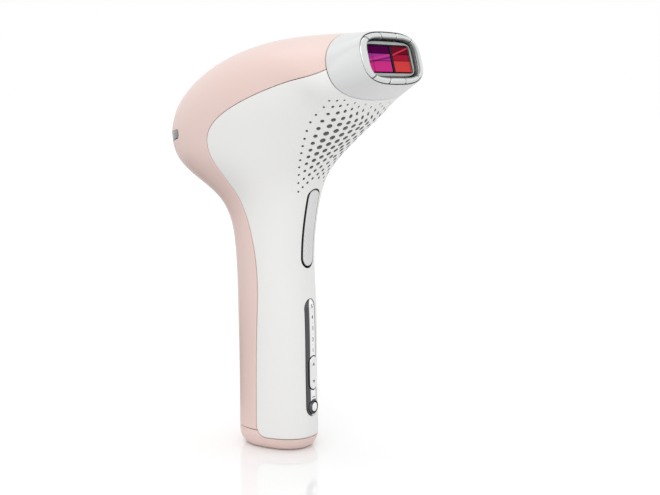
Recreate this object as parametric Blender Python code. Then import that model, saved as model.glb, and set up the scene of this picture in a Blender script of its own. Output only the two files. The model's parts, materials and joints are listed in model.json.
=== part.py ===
"""Handheld IPL hair remover: handset, fitted body attachment, controls and the works inside.

Row frame: metres, +Z up, origin at the centre of the flat foot, the flash window faces -Y.
Lengths below are millimetres. "Forward" is -Y and "lateral" is X; the object is symmetric about X = 0.
"""

import math

import bmesh
import bpy
import numpy as np
from mathutils import Euler, Matrix

MM = 0.001
SMOOTH_BELOW = math.radians(38)

# ---- Driving dimensions -------------------------------------------------------------------------

# Sections of the handset skin from the foot of the handle to the rim of the window:
# back point (forward, up), front point (forward, up), half width, squareness, lean to the front.
SECTIONS = (
    (-19.8, 10.0, 19.8, 10.0, 15.0, 2.3, 0.0),
    (-19.6, 38.0, 19.1, 38.0, 15.2, 2.3, 0.0),
    (-19.7, 68.0, 18.4, 68.0, 16.1, 2.3, 0.0),
    (-20.6, 96.5, 17.2, 96.5, 17.0, 2.3, 0.0),
    (-29.8, 120.7, 20.2, 120.0, 20.3, 2.3, 0.0),
    (-51.6, 138.0, 26.0, 134.8, 27.8, 2.3, 0.0),
    (-53.8, 158.8, 37.5, 146.7, 32.0, 2.3, 0.0),
    (-31.1, 181.3, 46.2, 154.6, 34.6, 2.3, 0.0),
    (8.0, 194.5, 49.5, 159.2, 35.5, 2.3, -0.06),
    (43.1, 196.8, 54.4, 166.6, 35.0, 2.2, -0.21),
    (59.2, 197.2, 65.3, 173.3, 27.6, 3.0, 0.0),
)
SEAM_SECTION = 9

# The line where the white front shell meets the rear shell: running length, angle round the section
# from the middle of the back (degrees).
SPLIT = (
    (0, 81), (50, 86), (82, 90), (107, 82), (128, 86.5),
    (149, 79.6), (165, 86), (187, 93.5), (199, 91.4), (209, 87.2), (219, 83.8),
)

WALL = 2.2
GAP = 0.35
FOOT_EDGE_IN = 5.0
FOOT_EDGE_UP = 8.0
REAR_FOOT_Z = 9.3
CAP_SIDES = 44
FRONT_FOOT_Z = 6.2
FRONT_CORNER = 5.5

# Window frame of reference: its centre, and how far its normal looks up from the horizontal.
WINDOW_FORWARD = 62.25
WINDOW_UP = 185.25
WINDOW_TILT = 14.0

# Outlines in the window's frame: half width, half height, squareness.
MOUTH = (27.2, 12.0, 3.0)
PAD_OUTER = (26.9, 11.7, 3.0)
PAD_INNER = (21.9, 8.9, 4.2)
LEDGE = (20.0, 7.9, 5.0)
NOZZLE = (19.6, 7.6, 8.0)
NOZZLE_BORE = (18.7, 6.7, 8.0)
FLANGE = (30.2, 12.2, 2.3)
FRAME = (29.0, 11.5, 2.3)
SCREWS = ((-23.5, 5.0), (23.5, 5.0), (-23.5, -5.0), (23.5, -5.0))
PAD_EDGES = (45, 74, 106, 135, 225, 254, 286, 315)
PAD_NAMES = (
    "top_right", "top_middle", "top_left", "left",
    "bottom_left", "bottom_middle", "bottom_right", "right",
)

# Controls on the front centre line: running length of the middle, half width, half length.
PANEL = (34.5, 4.3, 28.2)
ROCKER = (27.2, 2.85, 8.0)
FLASH_BUTTON = (98.1, 4.25, 19.6)
POWER_UP = 20.6
POWER_RADIUS = 2.5
PIVOT_FORWARD = 14.4
PIVOT_UP = 121.0
PIVOT_RADIUS = 1.2

# Ready light window on the back.
READY_V = 140.0
READY_RISE = 6.4
READY_HALF_WIDTH = 25.2
READY_HALF_HEIGHT = 1.7

# Works inside.
SOCKET_FORWARD = -8.6
CELL_RADIUS = 9.0
CELL_LENGTH = 50.0
CELL_FORWARD = -2.0
CELL_FOOT_Z = 18.0
CAPACITOR_RADIUS = 9.5
CAPACITOR_LENGTH = 36.0
CAPACITOR_UP = 162.0
LAMP_DEPTH = 14.0
LAMP_RADIUS = 2.2
FAN_DEPTH = 38.0
FAN_BLADES = 7

# Finishes: colour, roughness, metallic.
FINISHES = {
    "white_shell": ((0.86, 0.86, 0.85), 0.32, 0.0),
    "pink_shell": ((0.80, 0.60, 0.55), 0.36, 0.0),
    "white_attachment": ((0.88, 0.88, 0.88), 0.30, 0.0),
    "satin_pad": ((0.80, 0.81, 0.81), 0.28, 0.35),
    "grey_frame": ((0.62, 0.64, 0.64), 0.40, 0.1),
    "dark_rib": ((0.03, 0.01, 0.03), 0.45, 0.0),
    "violet_glass": ((0.45, 0.02, 0.30), 0.08, 0.0),
    "red_glass": ((0.70, 0.04, 0.05), 0.08, 0.0),
    "lamp_glass": ((0.85, 0.85, 0.80), 0.06, 0.0),
    "bright_metal": ((0.82, 0.82, 0.83), 0.10, 1.0),
    "mirror": ((0.92, 0.92, 0.92), 0.04, 1.0),
    "steel": ((0.60, 0.60, 0.62), 0.30, 1.0),
    "copper": ((0.72, 0.38, 0.22), 0.30, 1.0),
    "black_plastic": ((0.03, 0.03, 0.03), 0.45, 0.0),
    "dark_rubber": ((0.04, 0.04, 0.045), 0.70, 0.0),
    "grey_plastic": ((0.35, 0.36, 0.37), 0.50, 0.0),
    "smoked_lens": ((0.16, 0.15, 0.15), 0.12, 0.0),
    "light_guide": ((0.90, 0.92, 0.92), 0.20, 0.0),
    "board_green": ((0.03, 0.20, 0.09), 0.45, 0.0),
    "cell_sleeve": ((0.10, 0.22, 0.50), 0.40, 0.0),
    "capacitor_sleeve": ((0.05, 0.06, 0.14), 0.35, 0.0),
}


# ---- The skin -----------------------------------------------------------------------------------


def spline_bends(knots, values):
    """Second derivatives of the natural cubic spline through values at knots."""
    count = len(knots)
    step = np.diff(knots)
    system = np.eye(count)
    target = np.zeros_like(values)
    for i in range(1, count - 1):
        system[i, i - 1 : i + 2] = step[i - 1], 2 * (step[i - 1] + step[i]), step[i]
        rise = (values[i + 1] - values[i]) / step[i]
        target[i] = 6 * (rise - (values[i] - values[i - 1]) / step[i - 1])
    return np.linalg.solve(system, target)


def spline(knots, values, at):
    """The natural cubic spline through values (one row for each knot), read at each number of at."""
    bends = spline_bends(knots, values)
    at = np.asarray(at, float)
    cell = np.clip(np.searchsorted(knots, at, side="right") - 1, 0, len(knots) - 2)
    step = (knots[cell + 1] - knots[cell])[..., None]
    left = (knots[cell + 1] - at)[..., None] / step
    right = 1 - left
    bow = (left**3 - left) * bends[cell] + (right**3 - right) * bends[cell + 1]
    return left * values[cell] + right * values[cell + 1] + bow * step**2 / 6


def running_lengths(sections):
    """Running length of each section: the mean of the steps along the back and along the front."""
    back = np.hypot(*np.diff(sections[:, 0:2], axis=0).T)
    front = np.hypot(*np.diff(sections[:, 2:4], axis=0).T)
    return np.concatenate([[0.0], np.cumsum((back + front) / 2)])


SECTION_ROWS = np.array(SECTIONS)
SECTION_V = running_lengths(SECTION_ROWS)
SPLIT_ROWS = np.array(SPLIT, float)
SEAM_V = SECTION_V[SEAM_SECTION]
RIM_V = SECTION_V[-1]
FOOT_V = -SECTIONS[0][1]


def superellipse(angle, power):
    """Cosine and sine of a unit superellipse in the direction of angle."""
    cosine, sine = np.cos(angle), np.sin(angle)
    radius = (np.abs(cosine) ** power + np.abs(sine) ** power) ** (-1 / power)
    return cosine * radius, sine * radius


def foot_inset(v):
    """How far the rounded lower edge draws the skin in, at running length v."""
    below = np.clip((FOOT_EDGE_UP + FOOT_V - v) / FOOT_EDGE_UP, 0, 1)
    return FOOT_EDGE_IN * (1 - np.sqrt(1 - below**2))


def bare_skin(v, angle):
    """Points of the handset skin; angle runs from the middle of the back through +X to the front."""
    rows = spline(SECTION_V, SECTION_ROWS, np.maximum(v, 0))
    back_f, back_z, front_f, front_z, width, power, lean = np.moveaxis(rows, -1, 0)
    cosine, sine = superellipse(angle, power)
    cosine = cosine + lean * (1 - cosine**2)
    inset = foot_inset(v)
    half_chord = np.hypot(back_f - front_f, back_z - front_z) / 2
    shrink = 1 - inset / half_chord
    forward = (back_f + front_f) / 2 + shrink * (back_f - front_f) / 2 * cosine
    up = (back_z + front_z) / 2 + (back_z - front_z) / 2 * cosine + np.minimum(v, 0)
    return np.stack([(width - inset) * sine, -forward, up], axis=-1)


def skin(v, angle, lift=0.0):
    """Points of the skin, moved out along its normal by lift."""
    v, angle, lift = np.broadcast_arrays(*(np.asarray(q, float) for q in (v, angle, lift)))
    along = bare_skin(v + 0.01, angle) - bare_skin(v - 0.01, angle)
    around = bare_skin(v, angle + 0.001) - bare_skin(v, angle - 0.001)
    normal = np.cross(along, around)
    normal /= np.linalg.norm(normal, axis=-1, keepdims=True)
    return bare_skin(v, angle) + lift[..., None] * normal


def angle_at(v, lateral, front=True):
    """The angle at which the skin at v lies at this lateral distance, on the front or the back."""
    rows = spline(SECTION_V, SECTION_ROWS, np.maximum(v, 0))
    sine = lateral / rows[..., 4]
    power = rows[..., 5]
    cosine = (1 - np.abs(sine) ** power) ** (1 / power)
    return np.arctan2(sine, -cosine if front else cosine)


def split_angle(v, clear=0.0):
    """Angle of the parting line at v, moved towards the front by clear millimetres."""
    base = np.radians(spline(SPLIT_ROWS[:, 0], SPLIT_ROWS[:, 1:], np.maximum(v, 0))[..., 0])
    reach = np.linalg.norm(bare_skin(v, base + 0.01) - bare_skin(v, base - 0.01), axis=-1) / 0.02
    below = np.clip((FRONT_FOOT_Z + FRONT_CORNER + FOOT_V - v) / FRONT_CORNER, 0, 1)
    corner = FRONT_CORNER * (1 - np.sqrt(1 - below**2))
    return base + (corner + clear) / reach


# ---- Making solids ------------------------------------------------------------------------------


def material(finish):
    """The Principled material of a finish, made once."""
    known = bpy.data.materials.get(finish)
    if known:
        return known
    colour, roughness, metallic = FINISHES[finish]
    made = bpy.data.materials.new(finish)
    made.use_nodes = True
    shader = made.node_tree.nodes["Principled BSDF"]
    shader.inputs["Base Color"].default_value = (*colour, 1)
    shader.inputs["Roughness"].default_value = roughness
    shader.inputs["Metallic"].default_value = metallic
    made.diffuse_color = (*colour, 1)
    return made


def solid(name, points, faces, finish, parent=None):
    """A closed mesh object from points (mm) and faces, its normals turned outwards."""
    mesh = bpy.data.meshes.new(name)
    mesh.from_pydata((np.asarray(points).reshape(-1, 3) * MM).tolist(), [], faces)
    shape = bmesh.new()
    shape.from_mesh(mesh)
    bmesh.ops.recalc_face_normals(shape, faces=shape.faces)
    shape.to_mesh(mesh)
    shape.free()
    mesh.shade_smooth()
    mesh.set_sharp_from_angle(angle=SMOOTH_BELOW)
    mesh.materials.append(material(finish))
    obj = bpy.data.objects.new(name, mesh)
    bpy.context.scene.collection.objects.link(obj)
    obj.parent = parent
    return obj


def wall_faces(rows, cols, wrap=False):
    """Quads between successive closed loops of cols points; wrap also joins the last to the first."""
    last = rows if wrap else rows - 1
    faces = []
    for i in range(last):
        this, following = i * cols, (i + 1) % rows * cols
        for j in range(cols):
            beside = (j + 1) % cols
            faces.append((this + j, this + beside, following + beside, following + j))
    return faces


def stack(name, loops, finish, parent=None):
    """A solid skinned over successive closed loops, with a flat cap on the first and the last."""
    loops = np.asarray(loops)
    rows, cols = loops.shape[:2]
    faces = wall_faces(rows, cols)
    faces.append(tuple(range(cols)))
    faces.append(tuple(range((rows - 1) * cols, rows * cols)))
    return solid(name, loops, faces, finish, parent)


def ring(name, loops, finish, parent=None):
    """A solid with a hole through it: loops go round its cross-section and back to the first."""
    loops = np.asarray(loops)
    return solid(name, loops, wall_faces(*loops.shape[:2], wrap=True), finish, parent)


def sheet(name, outer, inner, finish, parent=None):
    """A solid between two grids of the same shape, closed round their edges."""
    rows, cols = outer.shape[:2]
    faces = wall_faces(rows, 2 * cols)
    for first in (0, (rows - 1) * 2 * cols):
        for j in range(cols - 1):
            far = first + 2 * cols - 1 - j
            faces.append((first + j, first + j + 1, far - 1, far))
    return solid(name, np.concatenate([outer, inner[:, ::-1]], axis=1), faces, finish, parent)


def box(name, size, centre, finish, parent=None, bevel=0.3):
    """A block of this size (lateral, forward, up in its own frame) with softened edges."""
    half = np.array(size) / 2
    corners = [(x, y, z) for z in (-1, 1) for x, y in ((-1, -1), (1, -1), (1, 1), (-1, 1))]
    loops = (np.array(corners) * half + np.array(centre)).reshape(2, 4, 3)
    obj = stack(name, loops, finish, parent)
    if bevel:
        edge = obj.modifiers.new("Soft edges", "BEVEL")
        edge.width = bevel * MM
        edge.segments = 1
        edge.limit_method = "ANGLE"
    return obj


def turned(name, profile, centre, axis, finish, parent=None, sides=18):
    """A solid of revolution; profile lists (radius, distance along axis), from one end to the other."""
    turn = np.linspace(0, 2 * np.pi, sides, endpoint=False)
    axis = np.array(axis, float)
    first = np.roll(axis, 1)
    second = np.cross(axis, first)
    circle = np.cos(turn)[:, None] * first + np.sin(turn)[:, None] * second
    loops = [np.array(centre) + radius * circle + along * axis for radius, along in profile]
    return stack(name, loops, finish, parent)


def helper(obj):
    """Marks a cutter, which isn't part of the object."""
    obj.hide_render = True
    obj.display_type = "WIRE"
    return obj


def cut(target, cutter, operation="DIFFERENCE"):
    """Cuts target with a helper, or joins the helper to it."""
    change = target.modifiers.new(operation.title(), "BOOLEAN")
    change.operation = operation
    change.object = helper(cutter)
    change.solver = "EXACT"


# ---- Outlines -----------------------------------------------------------------------------------


def outline(size, depth, count=32):
    """A closed loop in the window's frame: half width, half height and squareness, at this depth."""
    half_width, half_height, power = size
    cosine, sine = superellipse(np.linspace(0, 2 * np.pi, count, endpoint=False), power)
    return np.stack([half_width * sine, half_height * cosine, np.full(count, -float(depth))], axis=-1)


def slot_grid(place, grow=0.0, cols=7, rows=7):
    """Running lengths, lateral places and fullness of a grid over a round-ended slot."""
    middle, half_width, half_length = place
    half_width += grow
    straight = half_length + grow - half_width
    turn = np.radians((12, 34, 60))
    ends = straight + half_width * np.cos(turn)
    between = np.linspace(-straight, straight, rows) if straight > 0 else np.zeros(1)
    along = np.concatenate([-ends, between, ends[::-1]])
    widths = np.concatenate([np.sin(turn), np.ones(len(between)), np.sin(turn)[::-1]]) * half_width
    across = np.linspace(-1, 1, cols)
    v = np.repeat((middle + along)[:, None], cols, axis=1)
    lateral = widths[:, None] * across
    fullness = (1 - across**2) * np.sqrt(widths / half_width)[:, None]
    return v, lateral, fullness


def slot_solid(name, place, edge, crown, under, finish, grow=0.0, cols=7, rows=7):
    """A domed, round-ended piece that follows the front of the handle."""
    v, lateral, fullness = slot_grid(place, grow, cols, rows)
    angle = angle_at(v, lateral)
    outer = skin(v, angle, edge + (crown - edge) * fullness)
    return sheet(name, outer, skin(v, angle, under), finish)


# ---- Shells -------------------------------------------------------------------------------------


def shell(name, v, low, high, cols, finish):
    """A wall of the handset over running lengths v, between two angles for each of them."""
    share = np.linspace(0, 1, cols)
    angle = low[:, None] + (high - low)[:, None] * share
    rows = np.repeat(v[:, None], cols, axis=1)
    return sheet(name, skin(rows, angle), skin(rows, angle, -WALL), finish)


def make_front_shell():
    corner = np.sin(np.radians((0, 22, 45, 68)))
    foot = FRONT_FOOT_Z + FOOT_V + FRONT_CORNER * (1 - np.sqrt(1 - corner**2))
    v = np.concatenate([foot, np.linspace(2.5, SEAM_V - GAP / 2, 30)])
    low = split_angle(v, GAP / 2)
    obj = shell("front_shell", v, low, 2 * np.pi - low, 17, "white_shell")
    cut(obj, slot_solid("panel_cutter", PANEL, 4, 4, -5, "white_shell", grow=0.3))
    cut(obj, slot_solid("flash_button_cutter", FLASH_BUTTON, 4, 4, -5, "white_shell", grow=0.5))
    return obj


def make_rear_shell():
    v = np.concatenate([[REAR_FOOT_Z + FOOT_V, 0.4], np.linspace(2.5, SEAM_V - GAP / 2, 30)])
    high = split_angle(v, -GAP / 2)
    obj = shell("rear_shell", v, -high, high, 17, "pink_shell")
    v, angle = ready_grid(0.35)
    cutter = sheet("ready_cutter", skin(v, angle, 3), skin(v, angle, -5), "pink_shell")
    cut(obj, cutter)
    return obj


def ready_grid(grow):
    """Grid of the ready light window: a band that wraps the back and rises towards its ends."""
    across = np.linspace(-1, 1, 17)
    lateral = (READY_HALF_WIDTH + grow) * across
    middle = READY_V + READY_RISE * across**2
    near_end = (np.abs(lateral) - READY_HALF_WIDTH + 1.6).clip(0) / (2.4 + grow)
    end = np.sqrt(np.clip(1 - near_end**2, 0.2, 1))
    half = (READY_HALF_HEIGHT + grow) * end
    v = middle[:, None] + half[:, None] * np.linspace(-1, 1, 3)
    return v, angle_at(v, np.repeat(lateral[:, None], 3, axis=1), front=False)


def make_ready_light():
    v, angle = ready_grid(0.0)
    sheet("ready_light_lens", skin(v, angle, -0.1), skin(v, angle, -WALL), "smoked_lens")
    box("ready_light_board", (24, 1.2, 6), (0, 46.6, 148.5), "board_green")


def foot_loop(inset, height):
    """A loop round the foot, drawn in by inset, at this height or at one height for each angle."""
    angle = np.linspace(0, 2 * np.pi, CAP_SIDES, endpoint=False)
    cosine, sine = superellipse(angle, SECTIONS[0][5])
    half_width = SECTIONS[0][4] - inset
    half_chord = (SECTIONS[0][2] - SECTIONS[0][0]) / 2 - inset
    heights = np.broadcast_to(height, angle.shape)
    return np.stack([half_width * sine, half_chord * cosine, heights], axis=-1)


def cap_top():
    """Height of the cap's upper edge for each angle: under the rear shell, then the front one."""
    angle = np.linspace(0, 2 * np.pi, CAP_SIDES, endpoint=False)
    from_back = np.minimum(angle, 2 * np.pi - angle)
    base = np.radians(SPLIT[0][1])
    reach = np.linalg.norm(bare_skin(0.0, base + 0.01) - bare_skin(0.0, base - 0.01)) / 0.02
    beyond = np.clip((from_back - base) * reach / FRONT_CORNER, 0, 1)
    front = FRONT_FOOT_Z + FRONT_CORNER * (1 - np.sqrt(1 - (1 - beyond) ** 2))
    return np.where(from_back < base, REAR_FOOT_Z, np.minimum(front, REAR_FOOT_Z)) - GAP


def make_base_cap():
    top = cap_top()
    share = np.sin(np.radians((0, 15, 32, 52, 74)))
    rise = FOOT_EDGE_UP * (1 - np.sqrt(1 - share**2))
    loops = []
    for part, low in zip(share, rise):
        loops.append(foot_loop(FOOT_EDGE_IN * (1 - part), np.minimum(low, top)))
    loops.append(foot_loop(0.16, top))
    inside = WALL + GAP
    loops.append(foot_loop(inside, top))
    loops.append(foot_loop(inside, 14.5))
    loops.append(foot_loop(inside + 1.3, 14.5))
    loops.append(foot_loop(inside + 1.3, 5.0))
    loops.append(foot_loop(inside + 3.4, 2.4))
    obj = stack("base_cap", loops, "pink_shell")
    hole = ((4.4, -2), (4.4, 6))
    cut(obj, turned("socket_cutter", hole, (0, -SOCKET_FORWARD, 0), (0, 0, 1), "pink_shell"))
    return obj


def make_charging_socket():
    place = (0, -SOCKET_FORWARD, 0)
    cup = ((3.2, 9.6), (3.2, 0.7), (4.1, 0.7), (4.1, 12.0))
    turned("charging_socket", cup, place, (0, 0, 1), "black_plastic")
    turned("charging_pin", ((0.8, 4.8), (0.8, 9.3)), place, (0, 0, 1), "bright_metal", sides=12)


# ---- Attachment ---------------------------------------------------------------------------------


def window_empty():
    """An empty at the window's centre: its X is lateral, its Y up the window, its Z outwards."""
    frame = bpy.data.objects.new("window_frame_axes", None)
    frame.location = (0, -WINDOW_FORWARD * MM, WINDOW_UP * MM)
    frame.rotation_euler = (math.radians(90 - WINDOW_TILT), 0, 0)
    bpy.context.scene.collection.objects.link(frame)
    return frame


def in_window(points):
    """Row-frame points (mm) in the window's frame."""
    turn = np.array(Euler((math.radians(90 - WINDOW_TILT), 0, 0)).to_matrix())
    return (points - np.array([0, -WINDOW_FORWARD, WINDOW_UP])) @ turn


def make_attachment_housing(window):
    count = 40
    angle = np.linspace(0, 2 * np.pi, count, endpoint=False)
    outside = np.linspace(SEAM_V + GAP / 2, RIM_V, 5)
    loops = [in_window(skin(v, angle)) for v in outside]
    loops.append(outline(MOUTH, 0.1, count))
    loops.append(outline(MOUTH, 3.4, count))
    loops.append(outline(LEDGE, 3.4, count))
    loops.append(outline(LEDGE, 5.0, count))
    loops.append(outline((26.0, 10.8, 3.0), 5.4, count))
    for v in (SEAM_V + 6, SEAM_V + GAP / 2):
        loops.append(in_window(skin(v, angle, -WALL)))
    return ring("attachment_housing", loops, "white_attachment", window)


def make_pads(window):
    """Eight spring-loaded contact pads that ring the window."""
    profile = ((0.0, 2.3), (0.0, 0.2), (0.1, -0.4), (0.45, -0.9), (0.9, -0.9), (1.0, -0.5), (1.0, 2.3))
    for k, name in enumerate(PAD_NAMES):
        first = PAD_EDGES[k]
        last = PAD_EDGES[(k + 1) % 8] + (360 if k == 7 else 0)
        clear = 0.9 if last - first < 60 else 0.7
        turn = np.radians(90 - np.linspace(first + clear, last - clear, 13 if last - first > 60 else 5))
        sections = []
        for t in turn:
            section = []
            for blend, depth in profile:
                size = [(1 - blend) * a + blend * b for a, b in zip(PAD_OUTER, PAD_INNER)]
                cosine, sine = superellipse(t, size[2])
                section.append((size[0] * sine, size[1] * cosine, -depth))
            sections.append(section)
        stack(f"contact_pad_{name}", sections, "satin_pad", window)


def make_window(window):
    """The frame inside the pads, its two filter panes and the rib between them."""
    corner = 16.0
    loops = [
        outline((18.9, 6.5, corner), 1.1),
        outline((20.7, 7.9, 5.0), 1.1),
        outline((21.4, 8.5, 4.5), 2.1),
        outline((21.4, 8.5, 4.5), 3.1),
        outline((19.6, 7.5, 5.0), 3.1),
        outline((19.6, 7.5, 5.0), 5.2),
        outline((17.4, 5.4, corner), 5.2),
        outline((17.4, 5.4, corner), 3.1),
        outline((18.9, 6.5, corner), 3.1),
    ]
    ring("window_frame", loops, "grey_frame", window)
    box("filter_rib", (1.7, 11.9, 1.1), (1.8, 0, -1.75), "dark_rib", window, bevel=0.1)
    for name, low, high in (("left", -18.1, 0.45), ("right", 3.15, 18.1)):
        finish = "violet_glass" if name == "left" else "red_glass"
        centre = ((low + high) / 2, 0, -1.85)
        box(f"filter_pane_{name}", (high - low, 11.9, 1.0), centre, finish, window, bevel=0.1)


# ---- Optical head -------------------------------------------------------------------------------


def make_optical_head(window):
    """The nozzle that carries the attachment, and the frame it is screwed to."""
    loops = [
        outline(NOZZLE_BORE, 5.6),
        outline(NOZZLE, 5.6),
        outline(NOZZLE, 17.6),
        outline(FLANGE, 17.6),
        outline(FLANGE, 20.0),
        outline(NOZZLE, 20.0),
        outline(NOZZLE, 25.0),
        outline(NOZZLE_BORE, 25.0),
    ]
    head = ring("optical_head", loops, "white_attachment", window)
    loops = [
        outline((20.6, 8.6, 6.0), 20.4),
        outline(FRAME, 20.4),
        outline(FRAME, 24.4),
        outline((20.6, 8.6, 6.0), 24.4),
    ]
    frame = ring("head_frame", loops, "grey_plastic", window)
    screw = ((1.1, -25.5), (1.1, -17.2), (2.1, -17.2), (2.1, -16.0), (1.6, -15.6))
    for k, (x, y) in enumerate(SCREWS):
        place, axis = (x, y, 0), (0, 0, 1)
        turned(f"housing_screw_{k + 1}", screw, place, axis, "steel", window, sides=16)
        hole = ((1.4, -30), (1.4, -10))
        cut(head, turned(f"head_hole_{k + 1}", hole, place, axis, "steel", window, sides=16))
        cut(frame, turned(f"frame_hole_{k + 1}", hole, place, axis, "steel", window, sides=16))
    box("contact_block", (12, 2.2, 5), (0, -10.2, -14.9), "black_plastic", window)


def make_lamp(window):
    """A trough reflector with the flash tube along it, between two end caps."""
    height = np.linspace(-1, 1, 13)
    lateral = np.linspace(-15.5, 15.5, 3)

    def trough(half_height, vertex):
        depth = vertex - (vertex - 7.0) * height**2
        rows = [np.stack([np.full(13, x), half_height * height, -depth], axis=-1) for x in lateral]
        return np.array(rows)

    sheet("lamp_reflector", trough(6.2, 20.0), trough(5.5, 19.3), "mirror", window)
    tube = ((LAMP_RADIUS, -15.3), (LAMP_RADIUS, 15.3))
    turned("flash_lamp", tube, (0, 0, -LAMP_DEPTH), (1, 0, 0), "lamp_glass", window, sides=16)
    cap = ((2.9, 0.0), (2.9, 2.4))
    for side, name in ((-1, "left"), (1, "right")):
        place = (side * 15.8, 0, -LAMP_DEPTH)
        turned(f"lamp_cap_{name}", cap, place, (side, 0, 0), "steel", window, sides=16)


def make_fan(window):
    """A square axial fan behind the lamp: housing, bladed rotor, and the stator with its spindle."""
    loops = [
        outline((11.3, 11.3, 2.0), FAN_DEPTH + 4, 32),
        outline((12.5, 12.5, 9.0), FAN_DEPTH + 4, 32),
        outline((12.5, 12.5, 9.0), FAN_DEPTH - 4, 32),
        outline((11.3, 11.3, 2.0), FAN_DEPTH - 4, 32),
    ]
    ring("fan_housing", loops, "black_plastic", window)
    axes = bpy.data.objects.new("fan_axis", None)
    axes.location = (0, 0, -FAN_DEPTH * MM)
    axes.parent = window
    bpy.context.scene.collection.objects.link(axes)
    steps = FAN_BLADES * 6
    turn = np.linspace(0, 2 * np.pi, steps, endpoint=False)
    blade = np.tile((4.4, 4.4, 4.4, 10.2, 10.4, 10.2), FAN_BLADES)

    def rotor_loop(radius, height, twist=0.0):
        angle = turn + math.radians(twist)
        return np.stack([radius * np.cos(angle), radius * np.sin(angle), np.full(steps, height)], axis=-1)

    loops = [
        rotor_loop(1.3, 2.6),
        rotor_loop(blade, 2.6, 24),
        rotor_loop(blade, -2.6),
        rotor_loop(1.3, -2.6),
    ]
    ring("fan_rotor", loops, "grey_plastic", axes)
    bar = box("fan_stator", (26, 4, 1.2), (0, 0, -5.0), "black_plastic", axes, bevel=0)
    spindle = ((1.2, -5.2), (1.2, 3.6))
    cut(bar, turned("spindle_union", spindle, (0, 0, 0), (0, 0, 1), "steel", axes), "UNION")


# ---- Works inside -------------------------------------------------------------------------------


def make_power_supply():
    """Cells in their cradle in the handle; capacitors, board, transformer and coil in the head."""
    for k, name in enumerate(("lower", "upper")):
        foot = CELL_FOOT_Z + k * (CELL_LENGTH + 1)
        r = CELL_RADIUS
        body = ((r - 0.8, 0), (r, 0.8), (r, CELL_LENGTH - 0.8), (r - 0.8, CELL_LENGTH))
        turned(f"battery_cell_{name}", body, (0, -CELL_FORWARD, foot), (0, 0, 1), "cell_sleeve")
    turn = np.radians(np.linspace(-105, 105, 15))
    height = np.array((CELL_FOOT_Z - 0.5, CELL_FOOT_Z + 2 * CELL_LENGTH + 1.5))

    def arc(radius):
        circle = np.stack([radius * np.sin(turn), radius * np.cos(turn) - CELL_FORWARD], axis=-1)
        return np.array([np.column_stack([circle, np.full(15, z)]) for z in height])

    sheet("battery_cradle", arc(CELL_RADIUS + 1.7), arc(CELL_RADIUS + 0.4), "grey_plastic")
    r, length = CAPACITOR_RADIUS, CAPACITOR_LENGTH
    can = ((r - 1, 0), (r, 1), (r, length - 1), (r - 1, length))
    for side, name in ((-1, "left"), (1, "right")):
        place = (side * 10.5, -2, CAPACITOR_UP)
        turned(f"flash_capacitor_{name}", can, place, (0, 1, 0), "capacitor_sleeve")
    box("capacitor_bracket", (40, 30, 1.4), (0, 15, CAPACITOR_UP - r - 1.1), "grey_plastic")
    box("power_board", (38, 50, 1.6), (0, 9, 148.3), "board_green")
    box("charging_transformer", (20, 16, 13), (0, 25, 140.6), "copper", bevel=0.8)
    coil = ((4.2, -7), (4.2, 7))
    turned("trigger_coil", coil, (0, -8, 142.8), (1, 0, 0), "copper")


def make_control_board():
    """The board behind the controls, its switches and the light guide under the level marks."""
    box("control_board", (11, 1.2, 90), (0, -9.4, 61), "board_green")
    for name, up in (("up", 41.8), ("down", 32.6)):
        box(f"{name}_switch", (3.6, 4.6, 3.6), (0, -12.7, up), "black_plastic")
    box("power_switch", (3.6, 5.4, 3.6), (0, -13.1, POWER_UP), "black_plastic")
    box("flash_switch", (6, 1.4, 6), (0, -11.0, 93), "black_plastic")
    box("indicator_light_bar", (2.4, 5.4, 25), (0, -13.1, 59.5), "light_guide")


# ---- Controls -----------------------------------------------------------------------------------


def pivot_empty(name, forward, up):
    """An empty on a lateral joint axis."""
    axis = bpy.data.objects.new(name, None)
    axis.location = (0, -forward * MM, up * MM)
    bpy.context.scene.collection.objects.link(axis)
    return axis


def hang_on(obj, pivot):
    """Parents an object to its joint's empty without moving it."""
    obj.parent = pivot
    obj.matrix_parent_inverse = Matrix.Translation(-pivot.location)


def make_panel():
    """The bright control strip, its rocker for the light level, and the domed power button."""
    panel = slot_solid("control_panel", PANEL, 0.1, 0.9, -1.7, "bright_metal", cols=9, rows=14)
    cut(panel, slot_solid("rocker_cutter", ROCKER, 4, 4, -5, "bright_metal", grow=0.35, rows=11))
    front = (0, 0, POWER_UP)
    hole = ((3.7, -24), (3.7, -14))
    cut(panel, turned("power_cutter", hole, front, (0, 1, 0), "bright_metal"))
    rocker = slot_solid("intensity_rocker", ROCKER, 0.9, 1.5, -3.0, "bright_metal", cols=7)
    hang_on(rocker, pivot_empty("rocker_axis", 17.0, ROCKER[0] - FOOT_V))
    dome = ((POWER_RADIUS, -16.6), (POWER_RADIUS, -20.3), (2.2, -20.75), (1.4, -21.1), (0.5, -21.25))
    turned("power_button", dome, front, (0, 1, 0), "bright_metal")
    turn = np.linspace(0, 2 * np.pi, 24, endpoint=False)
    profile = ((2.8, 17.2), (3.4, 17.2), (3.4, 20.3), (3.2, 20.6), (2.95, 20.6), (2.8, 20.4))
    loops = [
        np.stack([r * np.sin(turn), np.full(24, -f), POWER_UP + r * np.cos(turn)], axis=-1)
        for r, f in profile
    ]
    ring("power_button_ring", loops, "bright_metal")


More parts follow.
